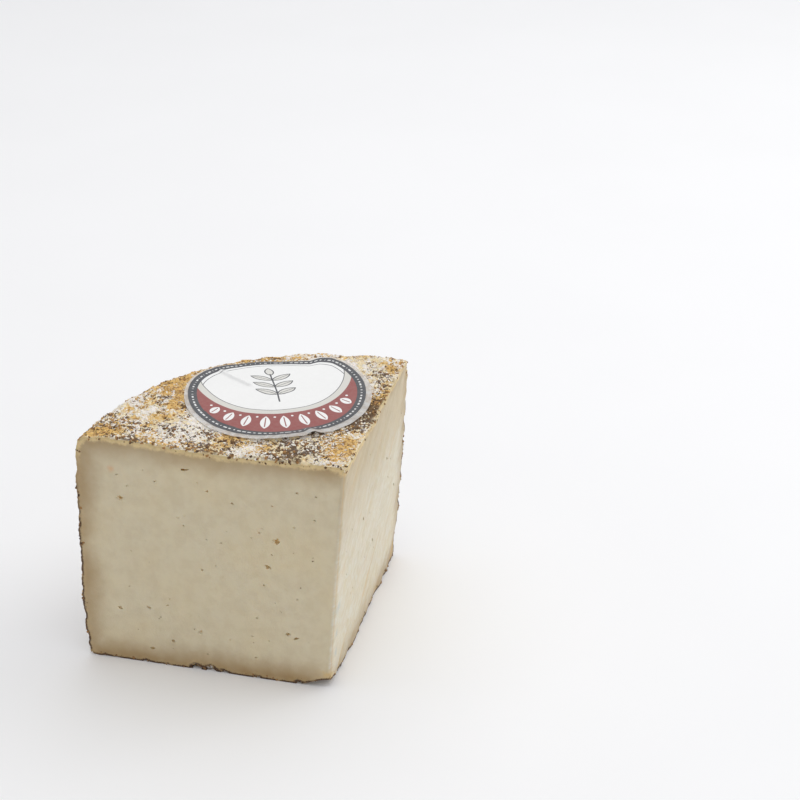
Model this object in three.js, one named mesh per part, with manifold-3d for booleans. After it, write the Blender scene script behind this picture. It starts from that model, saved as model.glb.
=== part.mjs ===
// A quarter of a semi-aged goat cheese wheel, with a round label stuck on the rind of its top.
// Millimetres, +Z up. The wedge's point faces -Y and the rind of the wheel's side faces +Y.
// The origin is under the middle of the part, on the surface that it stands on.
import * as THREE from "three";
import { ImprovedNoise } from "three/addons/math/ImprovedNoise.js";
import { mergeVertices } from "three/addons/utils/BufferGeometryUtils.js";
import Module from "manifold-3d";

// The wheel, about its own axis
const WHEEL_RADIUS = 100; // at the top rim
const CENTRE_HEIGHT = 100.5;
const HOLLOW_HEIGHT = 99.4; // half way out, where the top has sunk a little
const RIDGE_HEIGHT = 100.9; // along the rim
const RIDGE_WIDTH = 10.5; // from the ridge's foot to the side
const RIM_RADIUS = 5.4; // rounding from the top into the side
const SHOULDER = { radius: 101.7, height: 68 };
const BELLY = { radius: 102.3, height: 35 };
const FOOT_RADIUS = 101.8;
const FOOT_ROUNDING = 3;
const TOP_LEAN = 0.0103; // rise of the top for each mm towards -X

// The two cuts. Their edge meets the top at the wedge's point, (0, 0) in the wheel's plan
const AXIS = { x: -8.2, y: 0.9 }; // the wheel's axis, seen from that point
const CUT_HALF_ANGLE = THREE.MathUtils.degToRad(45.6);
const CUT_TOP = 100.2; // the height where both cuts pass through the point
const LEFT_SLANT = 0.022; // mm outwards for each mm down
const RIGHT_SLANT = -0.071;
const POINT_LIFT = { height: 4, reach: 15 }; // the bottom curls up near the point
const PRESSED_FLAT = 1.2; // the shelf has pressed the middle of the bottom flat by this much

// The rind's relief: swells, lumps and crags, each with its height and its width
const SWELL = { height: 0.9, width: 34 };
const LUMP = { height: 0.75, width: 11 };
const CRAG = { height: 0.55, width: 4.3 };
const SMOOTH_UNDER_LABEL = 0.25; // share of the relief that the label's glue leaves

// Mesh steps
const DISC_RINGS = 24;
const SIDE_ROWS = 32;
const LABEL_RINGS = 12;

// The label: a film disc on the top, its paper gathered at the back, beside the rim
const LABEL = { x: 6.2, y: 66.1, radius: 37.2, thickness: 0.25, clearance: 0.35 };
const LABEL_BACK = THREE.MathUtils.degToRad(58.8); // direction of its back from +X
const FILM_SHIFT = { across: 0.5, back: -1.3 }; // the film's middle from the print's
// Shares of the depth that are gathered, by place across the label
const LABEL_GATHER = [
  [-36, 0.1],
  [-28, 0.2],
  [-22, 0.26],
  [-17, 0.3],
  [0, 0.31],
  [8, 0.28],
  [12, 0.24],
  [16, 0.1],
  [21, 0],
];
const LABEL_LOOSE = { height: 1.1, angle: -1.92, from: 0.8 }; // its front edge stands off
const LABEL_TUCK = { height: 1.5, angle: -1.69, width: 0.075, from: 0.75 };
const LABEL_CREASE = { height: 0.35, angle: 1.88, width: 0.12, from: 0.1 };

// Eyes in the paste: distance from the wedge's edge, height, width, tallness and tilt in degrees
const LEFT_EYES = [
  [27.7, 64.7, 3.6, 3.2, 0],
  [31.4, 52.9, 3.4, 1.9, 35],
  [24.1, 22.8, 2.6, 2.2, 0],
  [20.9, 21.4, 3.4, 1.1, -30],
  [90.1, 75.4, 3.2, 2.4, 10],
  [63.3, 91.4, 4.6, 1.6, -12],
  [34.5, 67.7, 1.8, 1.6, 0],
  [71.9, 12, 2.2, 1.8, 20],
  [80.9, 7.1, 2.8, 1.6, -15],
  [81.4, 26.4, 2.4, 1.8, 15],
  [93.3, 24.6, 2.4, 1.8, 40],
  [60.1, 18.2, 2.2, 2, 0],
  [54.6, 83.2, 1.8, 1.4, 0],
  [66.9, 69.8, 1.6, 1.4, 0],
];
const RIGHT_EYES = [
  [33, 58, 2.6, 1.4, 55],
  [52, 36, 2.2, 1.4, 60],
  [68, 66, 2.4, 1.2, 50],
  [44, 74, 1.8, 1.4, 40],
  [21, 30, 1.8, 1.6, 0],
  [84, 44, 2, 1.4, 60],
];
const EYE_DEPTH = 0.9; // depth over width

// Chips out of the rind at the edges of the cuts: distance from the edge, height, size
const LEFT_CHIPS = [
  [63, 0.3, 4.6],
  [56.6, 0.6, 4.2],
  [50.8, 0, 3.4],
  [84, -0.2, 3],
  [37, -0.3, 3.2],
  [20, 0.2, 2.8],
];
const RIGHT_CHIPS = [
  [10.6, 0.2, 4.2],
  [1.2, 100.6, 3.4],
  [47, -0.2, 3.6],
  [78, -0.1, 3.2],
];

const wasm = await Module();
wasm.setup();
const noise = new ImprovedNoise();

const material = (color, roughness) =>
  new THREE.MeshStandardMaterial({ color, roughness, metalness: 0 });

function toSolid(geometry) {
  const bare = geometry.clone();
  bare.deleteAttribute("normal");
  bare.deleteAttribute("uv");
  const merged = mergeVertices(bare, 1e-4);
  const vertProperties = merged.attributes.position.array;
  const triVerts = new Uint32Array(merged.index.array);
  return new wasm.Manifold(new wasm.Mesh({ numProp: 3, vertProperties, triVerts }));
}

function toGeometry(solid) {
  const { vertProperties, triVerts } = solid.getMesh();
  const geometry = new THREE.BufferGeometry();
  geometry.setAttribute("position", new THREE.BufferAttribute(vertProperties, 3));
  geometry.setIndex(new THREE.BufferAttribute(triVerts, 1));
  geometry.computeVertexNormals();
  return geometry;
}

// One geometry from several indexed ones that share their borders
function joinSheets(sheets) {
  const positions = [];
  const index = [];
  for (const sheet of sheets) {
    const start = positions.length / 3;
    positions.push(...sheet.positions);
    index.push(...sheet.index.map((i) => i + start));
  }
  const geometry = new THREE.BufferGeometry();
  geometry.setAttribute("position", new THREE.Float32BufferAttribute(positions, 3));
  geometry.setIndex(index);
  return geometry;
}

// Ring and angle of a square grid's corner (a, b), for a disc whose ring m has 8 m corners
function ringCorner(a, b) {
  const ring = Math.max(Math.abs(a), Math.abs(b));
  if (ring === 0) return [0, 0];
  let step = 6 * ring + a;
  if (b === ring) step = 2 * ring - a;
  if (a === -ring) step = 4 * ring - b;
  if (a === ring) step = (b + 8 * ring) % (8 * ring);
  return [ring, (Math.PI / 4) * (step / ring)];
}

// A disc of even cells. place(share, angle) gives each corner, share being 0 to 1 outwards
function discSheet(rings, place, facesUp) {
  const positions = [];
  const index = [];
  const side = 2 * rings + 1;
  for (let b = -rings; b <= rings; b++)
    for (let a = -rings; a <= rings; a++) {
      const [ring, angle] = ringCorner(a, b);
      positions.push(...place(ring / rings, angle));
      if (a === rings || b === rings) continue;
      const i = (b + rings) * side + a + rings;
      const alongRing = (a + 0.5) * (b + 0.5) > 0;
      const cell = alongRing
        ? [i, i + 1, i + side, i + 1, i + side + 1, i + side]
        : [i, i + 1, i + side + 1, i, i + side + 1, i + side];
      index.push(...(facesUp ? cell : cell.reverse()));
    }
  return { positions, index };
}

// A closed band of 8 * rings steps round, place(share, angle) going from 0 to 1 along it
function bandSheet(rings, rows, place) {
  const positions = [];
  const index = [];
  const around = 8 * rings;
  for (let row = 0; row <= rows; row++)
    for (let k = 0; k < around; k++) {
      positions.push(...place(row / rows, (Math.PI / 4) * (k / rings)));
      if (row === rows) continue;
      const i = row * around + k;
      const j = row * around + ((k + 1) % around);
      index.push(i, i + around, j, j, i + around, j + around);
    }
  return { positions, index };
}

// The wheel's outline from the middle of its top, over the rim and down the side, to the middle
// of its bottom
const outline = new THREE.Path().moveTo(0, CENTRE_HEIGHT);
outline.splineThru([
  new THREE.Vector2(WHEEL_RADIUS / 2, HOLLOW_HEIGHT),
  new THREE.Vector2(WHEEL_RADIUS - RIDGE_WIDTH, RIDGE_HEIGHT),
  new THREE.Vector2(WHEEL_RADIUS - RIM_RADIUS, RIDGE_HEIGHT),
]);
const topLength = outline.getLength();
const rimCentre = [WHEEL_RADIUS - RIM_RADIUS, RIDGE_HEIGHT - RIM_RADIUS];
outline.absarc(...rimCentre, RIM_RADIUS, Math.PI / 2, 0, true);
outline.splineThru([
  new THREE.Vector2(SHOULDER.radius, SHOULDER.height),
  new THREE.Vector2(BELLY.radius, BELLY.height),
  new THREE.Vector2(FOOT_RADIUS, FOOT_ROUNDING),
]);
const footCentre = [FOOT_RADIUS - FOOT_ROUNDING, FOOT_ROUNDING];
outline.absarc(...footCentre, FOOT_ROUNDING, 0, -Math.PI / 2, true);
outline.updateArcLengths();
const sideEnd = outline.getLength();
outline.lineTo(0, 0);
outline.updateArcLengths();
const outlineLength = outline.getLength();

const wave = ({ height, width }, x, y, z) => height * noise.noise(x / width, y / width, z / width);

const labelDistance = (x, y) => Math.hypot(x - LABEL.x, y - LABEL.y);

// Height of the rind's relief over the smooth wheel
function relief(x, y, z) {
  const swell = wave(SWELL, x, y, z + 50);
  const rough = wave(LUMP, x + 31, y, z) + wave(CRAG, x, y + 17, z);
  const away = z > RIDGE_HEIGHT / 2 ? labelDistance(x, y) : Infinity;
  const bare = THREE.MathUtils.smoothstep(away, LABEL.radius - 3, LABEL.radius + 3);
  return swell + rough * THREE.MathUtils.lerp(SMOOTH_UNDER_LABEL, 1, bare);
}

// A point at a length along the wheel's outline, at an angle round its axis, and lifted off it
function wheelPoint(length, angle, lift) {
  const share = Math.min(length / outlineLength, 1);
  const { x: radius, y: height } = outline.getPointAt(share);
  const tangent = outline.getTangentAt(share);
  const x = AXIS.x + radius * Math.cos(angle);
  const y = AXIS.y + radius * Math.sin(angle);
  const off = relief(x, y, height) + lift;
  const px = x - tangent.y * off * Math.cos(angle);
  const py = y - tangent.y * off * Math.sin(angle);
  const pz = (height + tangent.x * off) * (1 - (TOP_LEAN * px) / RIDGE_HEIGHT);
  return [px, py, Math.max(pz, 0)];
}

// The corner of the two cuts, and a point along one of them, at a height
const LEFT = { turn: 1, slant: LEFT_SLANT };
const RIGHT = { turn: -1, slant: RIGHT_SLANT };

function cutFrame({ turn, slant }) {
  const angle = Math.PI / 2 + turn * CUT_HALF_ANGLE;
  const along = new THREE.Vector2(Math.cos(angle), Math.sin(angle));
  const out = new THREE.Vector2(-Math.sin(angle), Math.cos(angle)).multiplyScalar(turn);
  return { along, out, slant };
}

function cutPoint(cut, distance, height) {
  const { along, out, slant } = cutFrame(cut);
  const flat = along.clone().multiplyScalar(distance).addScaledVector(out, slant * (CUT_TOP - height));
  return new THREE.Vector3(flat.x, flat.y, height);
}

function pointOfWedge(height) {
  const a = cutPoint(LEFT, 0, height);
  const b = cutPoint(RIGHT, 0, height);
  const u = cutFrame(LEFT).along;
  const v = cutFrame(RIGHT).along;
  const distance = ((b.x - a.x) * v.y - (b.y - a.y) * v.x) / (u.x * v.y - u.y * v.x);
  return cutPoint(LEFT, distance, height);
}

function makeWheel() {
  const top = discSheet(DISC_RINGS, (share, angle) => wheelPoint(share * topLength, angle, 0), true);
  const side = bandSheet(DISC_RINGS, SIDE_ROWS, (share, angle) =>
    wheelPoint(THREE.MathUtils.lerp(topLength, sideEnd, share), angle, 0),
  );
  const point = pointOfWedge(0);
  const bottom = discSheet(
    DISC_RINGS,
    (share, angle) => {
      const length = THREE.MathUtils.lerp(outlineLength, sideEnd, share);
      const [x, y, z] = wheelPoint(length, angle, PRESSED_FLAT * (1 - share));
      const away = Math.hypot(x - point.x, y - point.y);
      const curl = 1 - THREE.MathUtils.smoothstep(away, 0, POINT_LIFT.reach);
      return [x, y, z + POINT_LIFT.height * curl];
    },
    false,
  );
  return toSolid(joinSheets([top, side, bottom]));
}

// A block with the two slanted cuts as sides, which keeps one quarter of the wheel
function makeQuarterBlock() {
  const below = -20;
  const above = 130;
  const far = 260;
  const positions = [];
  for (const height of [below, above]) {
    const point = pointOfWedge(height);
    const right = cutPoint(RIGHT, far, height);
    const left = cutPoint(LEFT, far, height);
    positions.push(...point, ...right, ...left);
  }
  const index = [0, 2, 1, 3, 4, 5, 0, 1, 4, 0, 4, 3, 1, 2, 5, 1, 5, 4, 2, 0, 3, 2, 3, 5];
  return toSolid(joinSheets([{ positions, index }]));
}

// An uneven lump, used to take an eye or a chip out of the cheese
function makeLump(cut, [distance, height, width, tall, tilt], depth) {
  const { out } = cutFrame(cut);
  const turn = Math.atan2(out.x, -out.y);
  const lump = new THREE.IcosahedronGeometry(0.5, 1);
  const corners = lump.attributes.position;
  const corner = new THREE.Vector3();
  for (let i = 0; i < corners.count; i++) {
    corner.fromBufferAttribute(corners, i);
    const rough = noise.noise(corner.x * 3 + distance, corner.y * 3 + height, corner.z * 3);
    corner.multiplyScalar(1 + 0.35 * rough);
    corners.setXYZ(i, corner.x, corner.y, corner.z);
  }
  lump.scale(width, depth, tall);
  lump.rotateY(THREE.MathUtils.degToRad(tilt));
  lump.rotateZ(turn);
  lump.translate(...cutPoint(cut, distance, height));
  return toSolid(lump);
}

function makeCheese() {
  let cheese = makeWheel().intersect(makeQuarterBlock());
  for (const [cut, eyes] of [[LEFT, LEFT_EYES], [RIGHT, RIGHT_EYES]])
    for (const eye of eyes) cheese = cheese.subtract(makeLump(cut, eye, 2 * EYE_DEPTH * eye[2]));
  for (const [cut, chips] of [[LEFT, LEFT_CHIPS], [RIGHT, RIGHT_CHIPS]])
    for (const [distance, height, size] of chips) {
      const lump = [distance, height, size, size * 0.7, 15];
      cheese = cheese.subtract(makeLump(cut, lump, size));
    }
  const mesh = new THREE.Mesh(toGeometry(cheese), material(0xddd0b4, 0.62));
  mesh.name = "cheese";
  return mesh;
}

// How far the label stands off the rind at a point of it, given by radius share and angle
function labelLift(share, angle) {
  const { smoothstep } = THREE.MathUtils;
  const front = Math.max(0, Math.cos(angle - LABEL_LOOSE.angle));
  const loose = LABEL_LOOSE.height * front ** 2 * smoothstep(share, LABEL_LOOSE.from, 1);
  const ridge = ({ height, angle: middle, width, from }) => {
    const aside = Math.acos(Math.cos(angle - middle));
    return height * Math.exp(-((aside / width) ** 2)) * smoothstep(share, from, 1);
  };
  return LABEL.clearance + loose + ridge(LABEL_TUCK) + ridge(LABEL_CREASE);
}

// How much of the label's depth is gathered at a place across it
function gatherAt(across) {
  const next = LABEL_GATHER.findIndex(([place]) => place > across);
  if (next < 0) return LABEL_GATHER.at(-1)[1];
  if (next === 0) return LABEL_GATHER[0][1];
  const [start, before] = LABEL_GATHER[next - 1];
  const [end, after] = LABEL_GATHER[next];
  return THREE.MathUtils.mapLinear(across, start, end, before, after);
}

// The label's flat disc is gathered, then laid on the wheel: a distance from the wheel's axis
// is a length along the wheel's outline
function labelPoint(share, angle, thickness) {
  const back = new THREE.Vector2(Math.cos(LABEL_BACK), Math.sin(LABEL_BACK));
  const aside = new THREE.Vector2(back.y, -back.x);
  const radius = LABEL.radius * share;
  const flat = new THREE.Vector2(radius * Math.cos(angle), radius * Math.sin(angle));
  const across = flat.dot(aside) + FILM_SHIFT.across;
  let depth = flat.dot(back) + FILM_SHIFT.back;
  if (depth > 0) depth *= 1 - gatherAt(across);
  const x = LABEL.x - AXIS.x + across * aside.x + depth * back.x;
  const y = LABEL.y - AXIS.y + across * aside.y + depth * back.y;
  return wheelPoint(Math.hypot(x, y), Math.atan2(y, x), labelLift(share, angle) + thickness);
}

function makeLabel() {
  const upper = (share, angle) => labelPoint(share, angle, LABEL.thickness);
  const lower = (share, angle) => labelPoint(share, angle, 0);
  const edge = (share, angle) => labelPoint(1, angle, LABEL.thickness * (1 - share));
  const sheets = [
    discSheet(LABEL_RINGS, upper, true),
    discSheet(LABEL_RINGS, lower, false),
    bandSheet(LABEL_RINGS, 1, edge),
  ];
  const mesh = new THREE.Mesh(toGeometry(toSolid(joinSheets(sheets))), material(0xd9d6cf, 0.4));
  mesh.name = "label";
  return mesh;
}

const quarter = new THREE.Group();
quarter.add(makeCheese(), makeLabel());
const box = new THREE.Box3().setFromObject(quarter);
const middle = box.getCenter(new THREE.Vector3());
quarter.position.set(-middle.x, -middle.y, -box.min.z);

export default quarter;
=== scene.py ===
import math

import bmesh
import bpy
import numpy as np
from bpy.props import FloatProperty, FloatVectorProperty, IntProperty, PointerProperty
from mathutils import Matrix, Vector, noise
from mathutils.bvhtree import BVHTree


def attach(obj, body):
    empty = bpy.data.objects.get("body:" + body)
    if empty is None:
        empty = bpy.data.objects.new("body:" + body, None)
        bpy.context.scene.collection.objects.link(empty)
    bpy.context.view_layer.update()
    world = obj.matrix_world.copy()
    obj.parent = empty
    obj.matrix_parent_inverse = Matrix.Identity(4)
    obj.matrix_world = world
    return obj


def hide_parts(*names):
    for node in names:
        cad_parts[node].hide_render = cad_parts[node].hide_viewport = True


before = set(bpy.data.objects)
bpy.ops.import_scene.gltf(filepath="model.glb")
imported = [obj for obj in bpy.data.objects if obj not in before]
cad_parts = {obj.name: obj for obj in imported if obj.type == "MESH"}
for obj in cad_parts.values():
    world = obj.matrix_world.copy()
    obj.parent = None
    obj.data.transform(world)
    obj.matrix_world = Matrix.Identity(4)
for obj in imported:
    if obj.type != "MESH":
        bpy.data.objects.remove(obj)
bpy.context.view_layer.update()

bl_info = {
    "name": "Semi-aged goat cheese quarter",
    "version": (1, 0, 0),
    "blender": (4, 5, 0),
    "location": "View3D > Sidebar > Cheese",
    "description": "Makes a quarter of a goat cheese wheel with a natural rind and a round label",
    "category": "Add Mesh",
}

MM = 0.001
BODY = "root"


def paint(red, green, blue):
    """A colour as a painter's 0 to 255 values, turned into Blender's linear ones."""
    def linear(value):
        share = value / 255
        return share / 12.92 if share <= 0.04045 else ((share + 0.055) / 1.055) ** 2.4
    return linear(red), linear(green), linear(blue)


def length(name, description, default):
    return FloatProperty(
        name=name, description=description, default=default, unit="LENGTH", precision=4
    )


def colour(name, description, *default):
    return FloatVectorProperty(
        name=name, description=description, default=paint(*default), subtype="COLOR",
        size=3, min=0, max=1,
    )


class WheelSizes(bpy.types.PropertyGroup):
    radius: length("Radius", "Wheel's radius at its top rim", 0.100)
    centre_height: length("Centre height", "Height at the wheel's axis", 0.1005)
    hollow_height: length("Hollow height", "Height half way out, where it has sunk", 0.0994)
    ridge_height: length("Ridge height", "Height along the rim", 0.1009)
    ridge_width: length("Ridge width", "From the ridge's foot to the side", 0.0105)
    rim_radius: length("Rim radius", "Rounding from the top into the side", 0.0054)
    shoulder_radius: length("Shoulder radius", "Radius at the shoulder", 0.1017)
    shoulder_height: length("Shoulder height", "Height of the shoulder", 0.068)
    belly_radius: length("Belly radius", "Radius where the side is fullest", 0.1023)
    belly_height: length("Belly height", "Height where the side is fullest", 0.035)
    foot_radius: length("Foot radius", "Radius just above the bottom", 0.1018)
    foot_rounding: length("Foot rounding", "Rounding from the side into the bottom", 0.003)
    top_lean: FloatProperty(
        name="Top lean", description="Rise of the top per metre towards -X", default=0.0103
    )
    point: FloatVectorProperty(
        name="Point", description="The wedge's point at the top, in plan", size=2,
        default=(0.00592, -0.05176), subtype="TRANSLATION", unit="LENGTH",
    )
    axis: FloatVectorProperty(
        name="Axis", description="The wheel's axis, seen from the wedge's point", size=2,
        default=(-0.0082, 0.0009), subtype="TRANSLATION", unit="LENGTH",
    )


class CutSizes(bpy.types.PropertyGroup):
    half_angle: FloatProperty(
        name="Half angle", description="Half the angle between the two cuts",
        default=math.radians(45.6), subtype="ANGLE",
    )
    top: length("Top", "Height where both cuts pass through the point", 0.1002)
    left_slant: FloatProperty(
        name="Left slant", description="Left cut, metres outwards per metre down", default=0.022
    )
    right_slant: FloatProperty(
        name="Right slant", description="Right cut, metres outwards per metre down",
        default=-0.071,
    )
    point_lift: length("Point lift", "How far the bottom curls up at the point", 0.004)
    point_reach: length("Point reach", "How far from the point it curls", 0.015)
    knife_wave: length("Knife wave", "Height of the waves that the knife left", 0.00028)
    knife_wave_width: length("Knife wave width", "Width of those waves", 0.022)
    drag: length("Drag marks", "Height of the slanted marks on the right cut", 0.0009)
    drag_width: length("Drag mark width", "Width of those marks", 0.0042)
    edge_rounding: length("Edge rounding", "Rounding of the wedge's upright edge", 0.0018)
    rim_rounding: length("Rim rounding", "Rounding of the cuts' upper edges", 0.0016)


class ReliefSizes(bpy.types.PropertyGroup):
    swell: length("Swell", "Height of the rind's broad swells", 0.0007)
    swell_width: length("Swell width", "Their width", 0.034)
    lump: length("Lump", "Height of the rind's lumps", 0.0006)
    lump_width: length("Lump width", "Their width", 0.011)
    crag: length("Crag", "Height of the rind's crags", 0.0006)
    crag_width: length("Crag width", "Their width", 0.0043)
    grain: length("Grain", "Height of the rind's grain", 0.00042)
    grain_width: length("Grain width", "Its width", 0.0017)
    under_label: FloatProperty(
        name="Under label", description="Share of the relief that the label leaves",
        default=0.25, subtype="FACTOR", min=0, max=1,
    )
    pressed_flat: length("Pressed flat", "How far the bottom's middle is pressed in", 0.0012)
    rows: IntProperty(name="Rows", description="Rows of corners on the top", default=225)


class RindColours(bpy.types.PropertyGroup):
    cream: colour("Cream", "Dry rind between the moulds", 242, 226, 188)
    ochre: colour("Ochre", "Orange-yellow patches", 232, 192, 120)
    tan: colour("Tan", "Browner crumbs", 164, 122, 74)
    bloom: colour("Bloom", "Powdery white mould", 250, 246, 240)
    soot: colour("Soot", "Dark mould specks", 78, 58, 43)
    ash: colour("Ash", "Grey mould on the side", 148, 135, 120)


class PasteColours(bpy.types.PropertyGroup):
    ivory: colour("Ivory", "The paste's middle", 219, 207, 178)
    tan: colour("Tan", "The paste beside the rind", 166, 136, 92)
    honey: colour("Honey", "The thin layer right under the rind", 230, 206, 154)
    crust: colour("Crust", "The rind's cut edge", 78, 56, 40)
    # Painted shade for the walls of the eyes and chips
    eye: colour("Eye", "The walls of the eyes", 214, 180, 122)
    stain: colour("Stain", "The small orange stain", 224, 170, 118)
    corner: colour("Corner", "The yellow corner at the foot of the point", 214, 184, 124)
    # Painted light: the right cut's paste drawn paler where the side lamp and the floor light it
    right_cut_painted_light: colour("Frost", "The paler paste of the right cut", 228, 222, 205)
    chill: colour("Chill", "The cold grey tinge at the upright edge", 190, 198, 196)


class LabelSizes(bpy.types.PropertyGroup):
    place: FloatVectorProperty(
        name="Place", description="The label's middle, seen from the wedge's point", size=2,
        default=(0.0062, 0.0661), subtype="TRANSLATION", unit="LENGTH",
    )
    film_radius: length("Film radius", "Radius of the clear film", 0.0372)
    print_radius: length("Print radius", "Radius of the print", 0.0353)
    ring_width: length("Ring width", "Width of the dark ring", 0.0035)
    back: FloatProperty(
        name="Back", description="Direction of the label's back from +X",
        default=math.radians(58.8), subtype="ANGLE",
    )
    film_shift: FloatVectorProperty(
        name="Film shift", description="The film's middle from the print's, across and back",
        size=2, default=(0.0005, -0.0013), subtype="TRANSLATION", unit="LENGTH",
    )
    turn: FloatProperty(
        name="Turn", description="How far the print is turned from +X",
        default=math.radians(-20.6), subtype="ANGLE",
    )
    thickness: length("Thickness", "Thickness of the film", 0.00012)
    clearance: length("Clearance", "Glue and air between film and rind", 0.00022)
    loose: length("Loose", "How far the front edge stands off", 0.0011)
    tuck: length("Tuck", "Height of the gathered tuck at the front", 0.0015)
    crease: length("Crease", "Height of the long crease at the back", 0.0009)


class LabelColours(bpy.types.PropertyGroup):
    ring: colour("Ring", "The dark ring", 62, 64, 70)
    paper: colour("Paper", "The upper field and the motifs", 240, 240, 239)
    band: colour("Band", "The grey band", 214, 212, 205)
    field: colour("Field", "The dark red lower field", 146, 72, 68)
    film: colour("Film", "The clear margin", 222, 214, 206)


class StageSettings(bpy.types.PropertyGroup):
    camera_place: FloatVectorProperty(
        name="Camera place", description="Where the camera stands", size=3,
        default=(-0.27257, -0.55050, 0.43859), subtype="TRANSLATION", unit="LENGTH",
    )
    azimuth: FloatProperty(
        name="Azimuth", description="Direction the camera looks in, from +Y",
        default=math.radians(-31.174), subtype="ANGLE",
    )
    elevation: FloatProperty(
        name="Elevation", description="How far the camera looks down",
        default=math.radians(28.455), subtype="ANGLE",
    )
    lens: FloatProperty(name="Lens", description="Focal length in mm", default=81.0)
    floor: colour("Floor", "The floor's colour", 247, 247, 248)
    key_power: FloatProperty(name="Key power", description="Overhead light in watts", default=16.6)
    side_power: FloatProperty(name="Side power", description="Right light in watts", default=3.9)
    fill_power: FloatProperty(name="Fill power", description="Front light in watts", default=0.4)
    room: FloatProperty(name="Room", description="Strength of the room's light", default=0.53)


def settings():
    return bpy.context.scene.goat_cheese


class CheeseSettings(bpy.types.PropertyGroup):
    wheel: PointerProperty(type=WheelSizes)
    cuts: PointerProperty(type=CutSizes)
    relief: PointerProperty(type=ReliefSizes)
    rind: PointerProperty(type=RindColours)
    paste: PointerProperty(type=PasteColours)
    label: PointerProperty(type=LabelSizes)
    label_colours: PointerProperty(type=LabelColours)
    stage: PointerProperty(type=StageSettings)
    eye_seed: IntProperty(name="Eye seed", description="Seed for the small eyes", default=11)
    grain_seed: IntProperty(name="Grain seed", description="Seed for the grains", default=5)


# The wheel's form


def smooth_line(points, steps=24):
    """A smooth line through points, by cubic pieces that fit the points' spacing."""
    gaps = np.linalg.norm(np.diff(points, axis=0), axis=1)
    slopes = np.gradient(points, np.concatenate([[0], np.cumsum(gaps)]), axis=0)
    t = np.linspace(0, 1, steps, endpoint=False)[:, None]
    ease = t * t * (3 - 2 * t)
    pieces = []
    for a, b, leaving, arriving, gap in zip(points, points[1:], slopes, slopes[1:], gaps):
        bend = t * (1 - t) * ((1 - t) * leaving - t * arriving)
        pieces.append(a + ease * (b - a) + gap * bend)
    return np.vstack([*pieces, points[-1:]])


def arc(centre, radius, start, end, steps=16):
    angle = np.radians(np.linspace(start, end, steps))
    across, up = radius * np.cos(angle), radius * np.sin(angle)
    return np.column_stack([centre[0] + across, centre[1] + up])


class Outline:
    """The wheel's outline from the middle of its top, over the rim, to the middle of its bottom.

    A place on the wheel is a length along this outline and an angle round the wheel's axis."""

    def __init__(self, wheel):
        self.wheel = wheel
        inner = wheel.radius - wheel.rim_radius
        foot = wheel.foot_radius - wheel.foot_rounding
        self.axis = np.array(wheel.point) + np.array(wheel.axis)
        top = smooth_line(np.array([
            (0.0, wheel.centre_height),
            (wheel.radius / 2, wheel.hollow_height),
            (wheel.radius - wheel.ridge_width, wheel.ridge_height),
            (inner, wheel.ridge_height),
        ]))
        rim = arc((inner, wheel.ridge_height - wheel.rim_radius), wheel.rim_radius, 90, 0)
        side = smooth_line(np.array([
            (wheel.radius, wheel.ridge_height - wheel.rim_radius),
            (wheel.shoulder_radius, wheel.shoulder_height),
            (wheel.belly_radius, wheel.belly_height),
            (wheel.foot_radius, wheel.foot_rounding),
        ]))
        heel = arc((foot, wheel.foot_rounding), wheel.foot_rounding, 0, -90)
        parts = [top, rim[1:], side[1:], heel[1:], np.array([(0, 0)])]
        self.line = np.vstack(parts)
        steps = np.linalg.norm(np.diff(self.line, axis=0), axis=1)
        self.along = np.concatenate([[0], np.cumsum(steps)])
        ends = np.cumsum([len(part) for part in parts])
        self.top_end, self.rim_end, self.side_end, self.heel_end = self.along[ends[:4] - 1]
        self.end = self.along[-1]

    def section(self, along):
        """Radius, height and outward direction at lengths along the outline."""
        def at(s):
            return np.array([np.interp(s, self.along, self.line[:, i]) for i in (0, 1)])
        step = 0.15 * MM
        run = at(along + step) - at(along - step)
        run /= np.maximum(np.linalg.norm(run, axis=0), 1e-12)
        return at(along), np.array([-run[1], run[0]])

    def top_length(self, radius):
        """The length along the top where the outline has this radius."""
        count = int(np.searchsorted(self.along, self.top_end)) + 1
        return np.interp(radius, self.line[:count, 0], self.along[:count])

    def place(self, along, angle, lift=0.0):
        """Points of the wheel, lifted off its smooth form."""
        (radius, height), (out, up) = self.section(along)
        ring = radius + out * lift
        x = self.axis[0] + ring * np.cos(angle)
        y = self.axis[1] + ring * np.sin(angle)
        lean = 1 - self.wheel.top_lean * (x - self.wheel.point[0]) / self.wheel.ridge_height
        return np.stack(np.broadcast_arrays(x, y, (height + up * lift) * lean), -1)

    def facing(self, along, angle):
        """Outward directions at the same places."""
        _, (out, up) = self.section(along)
        return np.stack(np.broadcast_arrays(out * np.cos(angle), out * np.sin(angle), up), -1)

    def unroll(self, points):
        """Where points lie on a flat sheet that is laid on the top and bent down over the rim."""
        flat = points[:, :2] - self.axis
        radius = np.linalg.norm(flat, axis=1)
        lengths = np.linspace(0, self.side_end, 500)
        (ring, height), _ = self.section(lengths)
        reach = np.empty(len(points))
        for start in range(0, len(points), 5000):
            part = slice(start, start + 5000)
            gap = np.hypot(radius[part, None] - ring, points[part, 2, None] - height)
            reach[part] = lengths[gap.argmin(axis=1)]
        return flat * (reach / np.maximum(radius, 1e-9))[:, None]

    def radius_at(self, height):
        """Radius of the side at a height."""
        side = (self.along >= self.top_end) & (self.along <= self.heel_end)
        line = self.line[side][::-1]
        return np.interp(height, line[:, 1], line[:, 0])


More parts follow.
